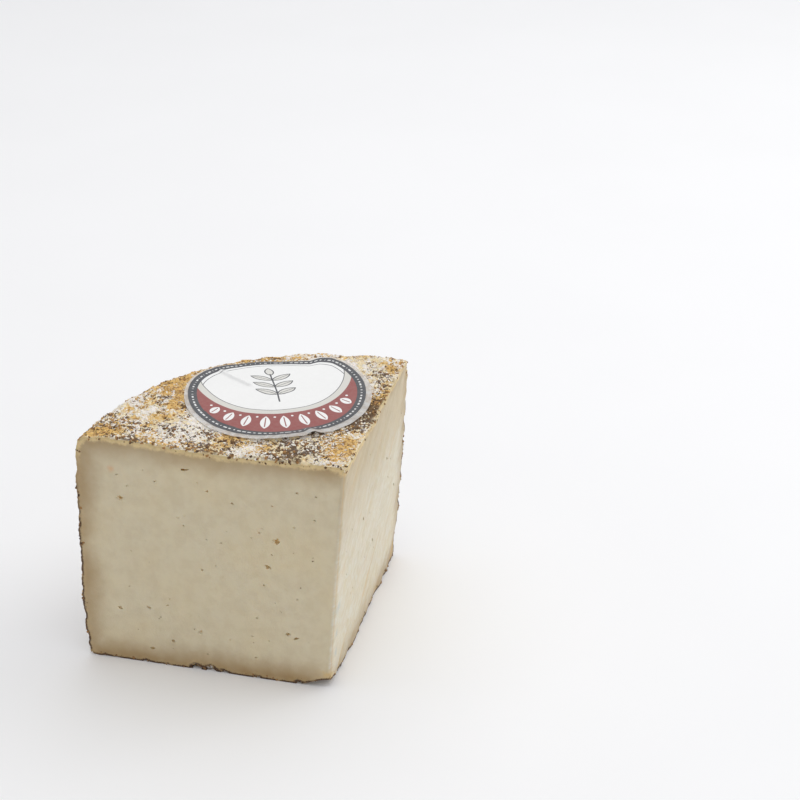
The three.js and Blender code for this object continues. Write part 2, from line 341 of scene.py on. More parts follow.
class Cut:
    """One of the two cuts: a plane that leans off the vertical."""

    def __init__(self, side):
        cuts = settings().cuts
        wheel = settings().wheel
        turn = 1 if side == "left" else -1
        angle = math.pi / 2 + turn * cuts.half_angle
        self.slant = cuts.left_slant if side == "left" else cuts.right_slant
        self.top = cuts.top
        self.point = np.array(wheel.point)
        self.along = np.array([math.cos(angle), math.sin(angle)])
        self.out = turn * np.array([-math.sin(angle), math.cos(angle)])
        self.normal = np.array([*self.out, self.slant]) / math.hypot(1, self.slant)

    def place(self, distance, height):
        """A point on the cut. The distance runs from the wedge's point outwards."""
        drop = self.slant * (self.top - np.asarray(height, float))
        xy = self.point + np.multiply.outer(distance, self.along)
        xy = xy + np.multiply.outer(drop, self.out)
        return np.concatenate([xy, np.broadcast_to(height, xy.shape[:-1])[..., None]], -1)

    def depth(self, points):
        """How far points lie inside the cheese from this cut."""
        start = np.array([*self.point, self.top])
        return -(points - start) @ self.normal


def wedge_edge(height):
    """The distance along the left cut where the right cut crosses it, and the crossing itself."""
    left = Cut("left")
    right = Cut("right")
    a = left.place(0.0, height)[:2]
    b = right.place(0.0, height)[:2]
    shares = np.linalg.solve(np.array([left.along, -right.along]).T, b - a)
    return shares, a + shares[0] * left.along


def numbered_rows(rows):
    """The corners' numbers, row by row."""
    starts = np.cumsum([0] + [len(row) for row in rows])
    return [list(range(start, start + len(row))) for start, row in zip(starts, rows)]


def zip_rows(upper, lower):
    """Triangles between two rows of corners that run side by side, of any two counts."""
    faces = []
    i = j = 0
    last_upper = len(upper) - 1
    last_lower = len(lower) - 1
    while i < last_upper or j < last_lower:
        upper_first = (i + 1) * last_lower <= (j + 1) * last_upper
        if j == last_lower or (i < last_upper and upper_first):
            faces.append((upper[i], lower[j], upper[i + 1]))
            i += 1
        else:
            faces.append((upper[i], lower[j], lower[j + 1]))
            j += 1
    return faces


def even_steps(start, end, step):
    return np.linspace(start, end, max(2, round((end - start) / step) + 1))


def new_object(name, vertices, faces):
    mesh = bpy.data.meshes.new(name)
    mesh.from_pydata(np.asarray(vertices).tolist(), [], [tuple(map(int, f)) for f in faces])
    mesh.update()
    thing = bpy.data.objects.new(name, mesh)
    bpy.context.scene.collection.objects.link(thing)
    return thing


def label_middle():
    """The label's middle, seen from the wheel's axis."""
    return np.array(settings().label.place) - np.array(settings().wheel.axis)


def soft_step(values, low, high):
    share = np.clip((values - low) / (high - low), 0, 1)
    return share * share * (3 - 2 * share)


# Shares of the label's depth that are gathered, by place across it in mm
LABEL_GATHER = (
    (-36, 0.1), (-28, 0.2), (-22, 0.26), (-17, 0.3), (0, 0.31), (8, 0.28), (12, 0.24),
    (16, 0.1), (21, 0),
)


def label_axes():
    """Directions across the label and to its back."""
    back = settings().label.back
    return np.array([math.sin(back), -math.cos(back)]), np.array([math.cos(back), math.sin(back)])


def kept_depth(across):
    """The share of its depth that the label keeps at places across it."""
    places, shares = np.array(LABEL_GATHER).T
    return 1 - np.interp(across / MM, places, shares)


def gathered(plan):
    """Where places of the flat label come to lie once its back is gathered."""
    aside, back = label_axes()
    across, depth = plan @ aside, plan @ back
    depth = np.where(depth > 0, depth * kept_depth(across), depth)
    return across[:, None] * aside + depth[:, None] * back


def off_label(points, outline):
    """How far points of the rind lie outside the label's film."""
    aside, back = label_axes()
    plan = outline.unroll(points) - label_middle()
    across, depth = plan @ aside, plan @ back
    depth = np.where(depth > 0, depth / kept_depth(across), depth)
    shift = settings().label.film_shift
    away = np.hypot(across - shift[0], depth - shift[1])
    return away - settings().label.film_radius


# The blank's mesh: its spare angle past the cuts, how far out the cuts' ends are, how far behind
# the wedge's edge its poles lie, the spacing of its rows, and the counts of those on the bottom
SPARE_ANGLE = 0.06
CUT_REACH = 0.105
POLE_SHIFT = np.array([0, 3 * MM])
FINE_ROWS = 0.55 * MM
SIDE_ROWS = 0.85 * MM
ROWS_BELOW = 96
CORNERS_BELOW = 150


def make_blank(outline):
    """A slice of the wheel a little wider than the quarter, closed, with smooth faces."""
    rows_on_top = settings().relief.rows
    ends = []
    for height in (0.0, settings().cuts.top):
        for side in ("left", "right"):
            far = Cut(side).place(CUT_REACH, height)[:2] - outline.axis
            ends.append(math.atan2(far[1], far[0]))
    first, last = min(ends) - SPARE_ANGLE, max(ends) + SPARE_ANGLE
    top_pole = wedge_edge(settings().cuts.top)[1] - POLE_SHIFT
    bottom_pole = wedge_edge(0.0)[1] - POLE_SHIFT

    def fan(pole, radius, share, count):
        angle = np.linspace(first, last, count)
        rim = outline.axis + radius * np.column_stack([np.cos(angle), np.sin(angle)])
        flat = pole + share * (rim - pole) - outline.axis
        return np.linalg.norm(flat, axis=1), np.arctan2(flat[:, 1], flat[:, 0])

    rows = []
    inner_radius = outline.line[np.searchsorted(outline.along, outline.top_end), 0]
    for row in range(rows_on_top):
        radius, angle = fan(top_pole, inner_radius, row / rows_on_top, row + 1)
        rows.append(outline.place(outline.top_length(radius), angle))
    columns = np.linspace(first, last, rows_on_top + 1)
    bands = [
        even_steps(outline.top_end, outline.rim_end, FINE_ROWS),
        even_steps(outline.rim_end, outline.side_end, SIDE_ROWS),
        even_steps(outline.side_end, outline.heel_end, FINE_ROWS),
    ]
    for along in np.unique(np.concatenate(bands)):
        rows.append(outline.place(np.full(len(columns), along), columns))
    foot_radius = outline.end - outline.heel_end
    for row in range(ROWS_BELOW - 1, -1, -1):
        share = row / ROWS_BELOW
        radius, angle = fan(bottom_pole, foot_radius, share, max(1, round(CORNERS_BELOW * share)))
        rows.append(outline.place(outline.end - radius, angle))

    ids = numbered_rows(rows)
    faces = [face for upper, lower in zip(ids, ids[1:]) for face in zip_rows(upper, lower)]
    faces.append([row[0] for row in reversed(ids)])
    faces.append([row[-1] for row in ids])
    blank = new_object("blank", np.vstack(rows), faces)
    points = read_points(blank.data)
    store(blank.data, "bare", soft_step(off_label(points, outline), -3 * MM, 3 * MM))
    store(blank.data, "pressed", pressed(points, outline))
    return blank


def pressed(points, outline):
    """How strongly the shelf has pressed the bottom flat, 1 at its middle."""
    away = np.linalg.norm(points[:, :2] - outline.axis, axis=1)
    share = np.clip(1 - away / (outline.wheel.foot_radius - outline.wheel.foot_rounding), 0, 1)
    share[points[:, 2] > 1e-6] = 0
    return share


def read_points(mesh):
    points = np.zeros(len(mesh.vertices) * 3)
    mesh.vertices.foreach_get("co", points)
    return points.reshape(-1, 3)


def store(mesh, name, values):
    layer = mesh.attributes.get(name) or mesh.attributes.new(name, "FLOAT", "POINT")
    layer.data.foreach_set("value", np.asarray(values, np.float32))


def rim_pull(outline, place, rounding):
    """How far a cut is drawn in at a place, so that its upper edge is rounded."""
    wheel = outline.wheel
    radius = np.linalg.norm(place[:2] - outline.axis)
    (_, top), _ = outline.section(outline.top_length(min(radius, wheel.radius)))
    lean = wheel.top_lean * (place[0] - wheel.point[0]) / wheel.ridge_height
    rise = (place[2] - top * (1 - lean)) / rounding + 1
    return rounding * (1 - math.sqrt(1 - min(max(rise, 0), 1) ** 2)) * RIM_PULL


# The block: the share of a full round that the cuts' upper edges get, how far the block goes
# from the point, its heights, the corners' spacing and where the knife's waves are in full
RIM_PULL = 0.7
BLOCK_REACH = (0.112, 0.17)
BLOCK_HEIGHTS = (-0.006, 0.0965, 0.1045, 0.112)
BLOCK_SPACING = 1.3 * MM
RIM_SPACING = 0.4 * MM
WAVE_START = 6 * MM


def make_quarter_block(outline):
    """A closed block whose two front sides are the knife's cuts, with the knife's slight waves.

    The two sides meet in the wedge's upright edge, which is rounded a little."""
    cuts = settings().cuts
    rounding = cuts.edge_rounding
    fine, coarse = np.linspace(0, rounding, 5), even_steps(rounding, BLOCK_REACH[0], BLOCK_SPACING)
    distances = np.concatenate([fine, coarse[1:], BLOCK_REACH[1:]])
    bottom, low, high, end = BLOCK_HEIGHTS
    below, near_rim = even_steps(bottom, low, BLOCK_SPACING), even_steps(low, high, RIM_SPACING)
    heights = np.concatenate([below, near_rim[1:], [end]])
    points = []
    grids = []
    for side, lane in (("left", 0), ("right", 1)):
        cut = Cut(side)
        grid = []
        for height in heights:
            start = wedge_edge(height)[0][lane]
            row = []
            for i, distance in enumerate(distances):
                if i == 0 and lane == 1:
                    row.append(grids[0][len(grid)][0])
                    continue
                turn = math.pi / 4 * max(0, 1 - distance / rounding)
                drawn_in = rounding * (1 - math.cos(turn))
                if turn:
                    distance = rounding * (1 - math.sin(turn))
                place = cut.place(start + distance, height)
                fade = min(1, distance / WAVE_START)
                drawn_in += rim_pull(outline, place, cuts.rim_rounding)
                place[:2] += cut.out * (fade * knife_wave(cut, distance, height) - drawn_in)
                row.append(len(points))
                points.append(place)
            grid.append(row)
        grids.append(grid)
    faces = []
    for grid in grids:
        for lower, upper in zip(grid, grid[1:]):
            faces.extend(zip(lower, lower[1:], upper[1:], upper))
    left, right = grids
    faces.append(left[0] + right[0][:0:-1])
    faces.append(left[-1] + right[-1][:0:-1])
    faces.append([row[-1] for row in left] + [row[-1] for row in reversed(right)])
    block = new_object("block", points, faces)
    face_outwards(block.data)
    return block


def knife_wave(cut, distance, height):
    """Height of the knife's waves: broad ones, and slanted drag marks on the right cut."""
    cuts = settings().cuts
    spot = Vector((distance, height, 0.1 if cut.slant > 0 else 0.2))
    wave = cuts.knife_wave * noise.noise(spot / cuts.knife_wave_width)
    if cut.slant < 0:
        across = (distance - height) / math.sqrt(2)
        along = (distance + height) / math.sqrt(2)
        spot = Vector((across / cuts.drag_width, along / (7 * cuts.drag_width), 0))
        wave += cuts.drag * noise.noise(spot)
    return wave


def face_outwards(mesh):
    work = bmesh.new()
    work.from_mesh(mesh)
    bmesh.ops.recalc_face_normals(work, faces=work.faces)
    work.to_mesh(mesh)
    work.free()


# Eyes and chips. Distance from the wedge's edge, height, width, tallness and tilt in degrees,
# lengths in mm
LEFT_EYES = (
    (27.7, 64.7, 3.6, 3.2, 0),
    (31.4, 52.9, 3.4, 1.9, 35),
    (24.1, 22.8, 2.6, 2.2, 0),
    (20.9, 21.4, 3.4, 1.1, -30),
    (90.1, 75.4, 3.2, 2.4, 10),
    (63.3, 91.4, 4.6, 1.6, -12),
    (34.5, 67.7, 1.8, 1.6, 0),
    (71.9, 12.0, 2.2, 1.8, 20),
    (80.9, 7.1, 2.8, 1.6, -15),
    (81.4, 26.4, 2.4, 1.8, 15),
    (93.3, 24.6, 2.4, 1.8, 40),
    (60.1, 18.2, 2.2, 2.0, 0),
    (54.6, 83.2, 1.8, 1.4, 0),
    (66.9, 69.8, 1.6, 1.4, 0),
)
RIGHT_EYES = (
    (33, 58, 2.6, 1.4, 55),
    (52, 36, 2.2, 1.4, 60),
    (68, 66, 2.4, 1.2, 50),
    (44, 74, 1.8, 1.4, 40),
    (21, 30, 1.8, 1.6, 0),
    (84, 44, 2.0, 1.4, 60),
)
LEFT_CHIPS = (
    (63, 0.3, 4.6), (56.6, 0.6, 4.2), (50.8, 0, 3.4), (84, -0.2, 3), (37, -0.3, 3.2),
    (20, 0.2, 2.8),
)
RIGHT_CHIPS = ((10.6, 0.2, 4.2), (1.2, 100.6, 3.4), (47, -0.2, 3.6), (78, -0.1, 3.2))
# Small eyes that show on the left cut, distance and height in mm
SMALL_EYES = (
    (79.9, 89.2), (86.9, 81.2), (64.4, 71.0), (71.2, 72.3), (44.8, 79.3), (87.2, 51.9),
    (29.6, 58.6), (37.8, 65.0), (50.0, 61.0), (20.6, 72.0), (19.1, 87.4), (11.7, 86.7),
    (33.3, 44.4), (18.4, 45.4), (36.6, 28.6), (72.3, 31.9), (76.6, 22.7), (32.0, 18.5),
    (57.6, 8.1), (37.6, 9.7), (13.3, 59.7), (52.5, 50.2), (58.3, 47.5), (79.8, 47.9),
    (58.4, 86.4),
)
# The finest eyes: how many each cut has and their leans in degrees
FINE_EYES = (("left", 26, (-30, 30)), ("right", 44, (35, 75)))
# Where the finest eyes may lie, distance and height, and the sizes of both kinds, in mm
FINE_PLACES = ((8, 94), (5, 94))
FINE_SIZES = (0.45, 1.1)
SMALL_SIZES = (0.7, 1.3)
SMALL_LEANS = (-40, 40)
CHIP_LEAN = 15
# How uneven a lump is, and how much of their sizes two lumps keep apart
LUMP_ROUGHNESS = 0.7
LUMP_SPACING = 0.75


def add_lump(work, cut, distance, height, width, deep, tall, tilt):
    """One uneven lump at a cut, to be taken out of the cheese."""
    turn = math.atan2(cut.out[0], -cut.out[1])
    place = Matrix.Translation(cut.place(distance * MM, height * MM))
    spin = Matrix.Rotation(turn, 4, "Z") @ Matrix.Rotation(math.radians(tilt), 4, "Y")
    scale = Matrix.Diagonal((width * MM, deep * MM, tall * MM, 1))
    made = bmesh.ops.create_icosphere(work, subdivisions=3, radius=0.5)
    for corner in made["verts"]:
        rough = noise.noise(corner.co * 3 + Vector((distance, height, 0)))
        corner.co *= 1 + LUMP_ROUGHNESS * rough
    bmesh.ops.transform(work, matrix=place @ spin @ scale, verts=made["verts"])


def make_lumps():
    """All that is missing from the cut faces: eyes, small eyes and chips at the rind."""
    rng = np.random.default_rng(settings().eye_seed)
    work = bmesh.new()
    taken = []

    def free(side, distance, height, size):
        for other_side, d, h, s in taken:
            apart = math.hypot(d - distance, h - height)
            if other_side == side and apart < (s + size) * LUMP_SPACING:
                return False
        taken.append((side, distance, height, size))
        return True

    cuts = {side: Cut(side) for side in ("left", "right")}
    for side, eyes, chips in (("left", LEFT_EYES, LEFT_CHIPS), ("right", RIGHT_EYES, RIGHT_CHIPS)):
        for distance, height, width, tall, tilt in eyes:
            free(side, distance, height, 0)
            sizes = (0.8 * width, 0.6 * width, 0.8 * tall)
            add_lump(work, cuts[side], distance, height, *sizes, tilt)
        for distance, height, size in chips:
            free(side, distance, height, size)
            add_lump(work, cuts[side], distance, height, size, size, size * 0.7, CHIP_LEAN)
    for distance, height in SMALL_EYES:
        size = rng.uniform(*SMALL_SIZES)
        if free("left", distance, height, size):
            lean = rng.uniform(*SMALL_LEANS)
            add_lump(work, cuts["left"], distance, height, size, 0.7 * size, size * 0.75, lean)
    for side, count, leans in FINE_EYES:
        for _ in range(count):
            distance, height = (rng.uniform(*span) for span in FINE_PLACES)
            size = rng.uniform(*FINE_SIZES)
            if free(side, distance, height, size):
                lean = rng.uniform(*leans)
                add_lump(work, cuts[side], distance, height, size * 1.3, size, size * 0.6, lean)
    lumps = new_object("lumps", [], [])
    work.to_mesh(lumps.data)
    work.free()
    return lumps


# Node trees


class Value:
    """What a node gives. Plain signs make Math nodes of it, or Vector Math ones of a vector."""

    def __init__(self, make, socket):
        self.make = make
        self.socket = socket

    def __add__(self, other):
        return self.make.math("ADD", self, other)

    def __sub__(self, other):
        return self.make.math("SUBTRACT", self, other)

    def __rsub__(self, other):
        return self.make.math("SUBTRACT", other, self)

    def __mul__(self, other):
        if is_vector(self) and not is_vector(other):
            scaling = {"Vector": self, "Scale": other}
            return self.make.give("ShaderNodeVectorMath", scaling, operation="SCALE")
        return self.make.math("MULTIPLY", self, other)

    def __truediv__(self, other):
        return self.make.math("DIVIDE", self, other)

    def __rtruediv__(self, other):
        return self.make.math("DIVIDE", other, self)

    def __abs__(self):
        return self.make.math("ABSOLUTE", self)

    __radd__ = __add__

    def swing(self, amount):
        """A value from 0 to 1 turned into a swing about zero, half the amount each way."""
        return self.make.math("MULTIPLY_ADD", self, amount, -amount / 2)


def is_vector(value):
    if isinstance(value, Value):
        return value.socket.type in ("VECTOR", "RGBA")
    return isinstance(value, tuple)


class Maker:
    """Builds a node tree, with a short call for each kind of node that this file uses."""

    def __init__(self, tree):
        self.tree = tree

    def add(self, kind, values=(), **choices):
        """A node with its inputs set or linked, by their places or by their names."""
        node = self.tree.nodes.new(kind)
        for name, value in choices.items():
            setattr(node, name, value)
        for key, value in values.items() if isinstance(values, dict) else enumerate(values):
            self.put(node.inputs[key], value)
        node.location = (180 * len(self.tree.nodes), 0)
        return node

    def give(self, kind, values=(), output=0, **choices):
        """One output of a new node."""
        return Value(self, self.add(kind, values, **choices).outputs[output])

    def put(self, socket, value):
        if isinstance(value, Value):
            self.tree.links.new(value.socket, socket)
        else:
            socket.default_value = value

    def math(self, operation, *values):
        if not any(map(is_vector, values)):
            return self.give("ShaderNodeMath", values, operation=operation)
        output = "Value" if operation in ("DOT_PRODUCT", "LENGTH", "DISTANCE") else "Vector"
        return self.give("ShaderNodeVectorMath", values, output, operation=operation)

    def most(self, first, *others):
        for other in others:
            first = self.math("MAXIMUM", first, other)
        return first

    def noise(self, place, width, detail=2.0, roughness=0.5, distortion=0.0, *, signed=False,
              output=0):
        values = {
            "Vector": place, "Scale": 1 / width, "Detail": detail, "Roughness": roughness,
            "Distortion": distortion,
        }
        return self.give("ShaderNodeTexNoise", values, output, normalize=not signed)

    def split(self, vector):
        node = self.add("ShaderNodeSeparateXYZ", [vector])
        return [Value(self, socket) for socket in node.outputs]

    def join(self, *values):
        return self.give("ShaderNodeCombineXYZ", values)

    def shaken(self, place, width, detail):
        """Noise as a vector that points any way, half a unit long at most along each axis."""
        return self.noise(place, width, detail, output=1) - (0.5, 0.5, 0.5)

    def crumbs(self, place, width, shift):
        """Uneven crumbs: two random numbers for each, and how far from its middle a place is."""
        moved = place + self.shaken(place, width / 0.9, 1.0) * (1.3 * width)
        moved = moved + (shift, 2 * shift, 3 * shift)
        values = {"Vector": moved, "Scale": 1 / width}
        node = self.add("ShaderNodeTexVoronoi", values, feature="F1")
        red, green, _ = self.split(Value(self, node.outputs["Color"]))
        return red, green, Value(self, node.outputs["Distance"])

    def step(self, value, low, high, start=0.0, end=1.0):
        """A smooth step: start at low or less, end at high or more."""
        values = (value, low, high, start, end)
        return self.give("ShaderNodeMapRange", values, interpolation_type="SMOOTHSTEP")

    def mix(self, factor, first, second):
        first, second = (
            tone if isinstance(tone, Value) else (*tone, 1) for tone in (first, second)
        )
        values = {0: factor, 6: first, 7: second}
        return self.give("ShaderNodeMix", values, 2, data_type="RGBA")

    def attribute(self, name):
        if self.tree.type == "SHADER":
            return self.give("ShaderNodeAttribute", output="Fac", attribute_name=name)
        return self.give("GeometryNodeInputNamedAttribute", {"Name": name}, data_type="FLOAT")


def new_geometry_tree(name, sizes):
    """A Geometry Nodes tree with a mesh going in and out, and named inputs for its sizes."""
    tree = bpy.data.node_groups.new(name, "GeometryNodeTree")
    face = tree.interface
    face.new_socket("Geometry", in_out="INPUT", socket_type="NodeSocketGeometry")
    for label, kind, value in sizes:
        socket = face.new_socket(label, in_out="INPUT", socket_type="NodeSocket" + kind)
        if value is not None:
            socket.default_value = value
    face.new_socket("Geometry", in_out="OUTPUT", socket_type="NodeSocketGeometry")
    make = Maker(tree)
    given = {socket.name: Value(make, socket) for socket in make.add("NodeGroupInput").outputs}
    return tree, make, given, make.add("NodeGroupOutput").inputs[0]


def settle(thing, tree, values):
    """Runs a Geometry Nodes tree on an object and keeps the result as its plain mesh."""
    modifier = thing.modifiers.new(tree.name, "NODES")
    modifier.node_group = tree
    for item in tree.interface.items_tree:
        if item.item_type == "SOCKET" and item.name in values:
            modifier[item.identifier] = values[item.name]
    return keep_result(thing)


def keep_result(thing):
    """The evaluated object as a plain mesh, with its modifiers taken off."""
    bpy.context.view_layer.update()
    dressed = thing.evaluated_get(bpy.context.evaluated_depsgraph_get())
    mesh = bpy.data.meshes.new_from_object(dressed)
    old = thing.data
    thing.modifiers.clear()
    thing.data = mesh
    mesh.name = thing.name
    bpy.data.meshes.remove(old)
    return thing


def relief_tree():
    """Pushes the smooth wheel in and out along its normals: swells, lumps, crags and grain."""
    waves = ("Swell", "Lump", "Crag", "Grain")
    sizes = [(wave + end, "Float", 0.001) for wave in waves for end in ("", " Width")]
    sizes += [("Under Label", "Float", 0.25), ("Pressed Flat", "Float", 0.0012)]
    sizes += [("Point Lift", "Float", 0.004), ("Point Reach", "Float", 0.015)]
    sizes += [("Point Below", "Vector", None)]
    tree, make, given, result = new_geometry_tree("rind relief", sizes)
    place = make.give("GeometryNodeInputPosition")
    parts = []
    for shift, wave in enumerate(waves):
        moved = place + (0.31 * shift, 0.17 * shift, 0.05)
        parts.append(make.noise(moved, given[wave + " Width"], 1.0, signed=True) * given[wave])
    swell, lump, crag, grain = parts
    keep = make.step(make.attribute("bare"), 0.0, 1.0, given["Under Label"], 1.0)
    press = make.attribute("pressed") * given["Pressed Flat"]
    lift = swell + (lump + crag + grain) * keep + press
    x, y, z = make.split(place + make.give("GeometryNodeInputNormal") * lift)
    away = make.math("DISTANCE", place * (1, 1, 0), given["Point Below"])
    curl = make.step(away, 0.0, given["Point Reach"], given["Point Lift"], 0.0)
    raised = make.most(z, 0.0) + curl * make.math("LESS_THAN", z, 1.2 * MM)
    put = {"Geometry": given["Geometry"], "Position": make.join(x, y, raised)}
    make.put(result, make.give("GeometryNodeSetPosition", put))
    return tree


def grain_tree(name, material):
    """Scatters uneven little grains over a mesh, as thickly as one of its attributes says."""
    sizes = [
        ("Density", "Float", 1e6), ("Smallest", "Float", 0.0003), ("Largest", "Float", 0.0009),
        ("Flatness", "Float", 0.5), ("Roughness", "Float", 0.3), ("Seed", "Int", 1),
    ]
    tree, make, given, result = new_geometry_tree(name, sizes)
    seed, largest = given["Seed"], given["Largest"]
    density = make.attribute(name) * given["Density"]
    ground = {"Mesh": given["Geometry"], "Density": density, "Seed": seed}
    spread = make.add("GeometryNodeDistributePointsOnFaces", ground, distribute_method="RANDOM")
    places, upright = (Value(make, spread.outputs[name]) for name in ("Points", "Rotation"))
    grain = make.give("GeometryNodeMeshIcoSphere", {"Radius": 0.5, "Subdivisions": 1})

    def draw(low, high, shift):
        values = {2: low, 3: high, "Seed": seed + shift}
        return make.give("FunctionNodeRandomValue", values, 1, data_type="FLOAT")

    chance = make.math("POWER", draw(0.0, 1.0, 3), 2.0)
    size = make.step(chance, 0.0, 1.0, given["Smallest"], largest)
    shape = make.join(size * draw(0.7, 1.6, 7), size * draw(0.7, 1.2, 9), size * given["Flatness"])
    tilt = make.join(draw(-0.35, 0.35, 15), draw(-0.35, 0.35, 17), draw(0.0, math.tau, 13))
    twist = make.give("FunctionNodeEulerToRotation", [tilt])
    turn = make.give("FunctionNodeRotateRotation", [upright, twist], rotation_space="LOCAL")
    laid = {"Points": places, "Instance": grain, "Rotation": turn, "Scale": shape}
    laid = make.give("GeometryNodeInstanceOnPoints", laid)
    real = make.give("GeometryNodeRealizeInstances", [laid])
    shaken = make.shaken(make.give("GeometryNodeInputPosition"), 0.45 * MM, 0.0)
    moved = {"Geometry": real, "Offset": shaken * (given["Roughness"] * largest)}
    moved = make.give("GeometryNodeSetPosition", moved)
    dressed = {"Geometry": moved, "Material": material}
    make.put(result, make.give("GeometryNodeSetMaterial", dressed))
    return tree


# Materials


def new_material(name):
    material = bpy.data.materials.new(name)
    material.use_nodes = True
    make = Maker(material.node_tree)
    shader = material.node_tree.nodes["Principled BSDF"]
    return material, make, shader, make.give("ShaderNodeTexCoord", output="Object")


def finish_material(make, shader, values, height=None, depth=0.0):
    """Sets or links the shader's inputs, with a fine relief of this height and depth."""
    for name, value in values.items():
        make.put(shader.inputs[name], value)
    if height is not None:
        relief = {"Height": height, "Strength": 1.0, "Distance": depth}
        make.put(shader.inputs["Normal"], make.give("ShaderNodeBump", relief))


def soft(weight, scale, radius):
    """Shader inputs for light that sinks in and spreads, by a share and a distance."""
    return {"Subsurface Weight": weight, "Subsurface Scale": scale, "Subsurface Radius": radius}


def rind_material():
    """Dry natural rind: ochre crumbs under powdery white mould, with soot-dark specks between."""
    look = settings().rind
    material, make, shader, place = new_material("rind")
    coarse, coarse_other, coarse_away = make.crumbs(place, 1.9 * MM, 0.3)
    fine, fine_other, fine_away = make.crumbs(place, 0.95 * MM, 0.7)
    broad = make.noise(place, 9 * MM, 3, 0.6)
    tint = make.noise(place + (0.1, 0.5, 0.9), 3.2 * MM, 3, 0.6)
    dust = make.noise(place + (0.4, 0.2, 0.6), 0.5 * MM, 2, 0.6)
    edge = make.attribute("edge")

    def uneven(amount, first, second, drift):
        """An amount made uneven by crumbs and a cloud, still about 0 to 1."""
        return amount + first.swing(0.5) + second.swing(0.55) + drift.swing(1.2)

    warm = uneven(make.attribute("ochre"), coarse, fine_other, broad)
    base = make.mix(make.step(warm, 0.25, 0.62), look.cream, look.ochre)
    brown = uneven(0.34, coarse_other, fine, tint)
    base = make.mix(make.step(brown, 0.40, 0.60, 0.0, 0.8), base, look.tan)
    grey = make.attribute("side") * make.step(broad, 0.36, 0.6, 0.45, 0.9)
    base = make.mix(grey, base, look.ash)
    white = uneven(make.attribute("bloom"), coarse_other, fine_other, tint) + dust.swing(0.5)
    white = make.step(white, 0.44, 0.60)
    base = make.mix(white * 0.93, base, look.bloom)
    black = uneven(make.attribute("soot"), coarse, fine, tint) + dust.swing(0.4)
    black = make.step(black, 0.55, 0.66) * make.step(edge, 0.3, 1.0, 1.0, 0.5)
    base = make.mix(black * 0.92, base, look.soot)
    base = make.mix(make.step(dust, 0.35, 0.7, 0.0, 0.25), base, look.tan)
    base = make.mix(edge * 0.6, base, look.cream)
    raised = coarse_away * -0.8 + fine_away * -0.55 + dust * 0.5 + white * 0.3 + black * -0.35
    finish_material(make, shader, {
        "Base Color": base, "Roughness": make.step(dust, 0.4, 0.6, 0.7, 0.95),
        "Specular IOR Level": 0.3, **soft(0.06, 1.0 * MM, (1.0, 0.6, 0.35)),
    }, raised, 0.55 * MM)
    return material


def blotch(make, place, base, centre, reach, tone, strength):
    """A soft blotch of another tone round a place."""
    away = make.math("DISTANCE", place, tuple(centre)) + make.noise(place, 2 * MM, 2, 0.6) * reach
    return make.mix(make.step(away, 0.5 * reach, 1.5 * reach, strength, 0.0), base, tone)


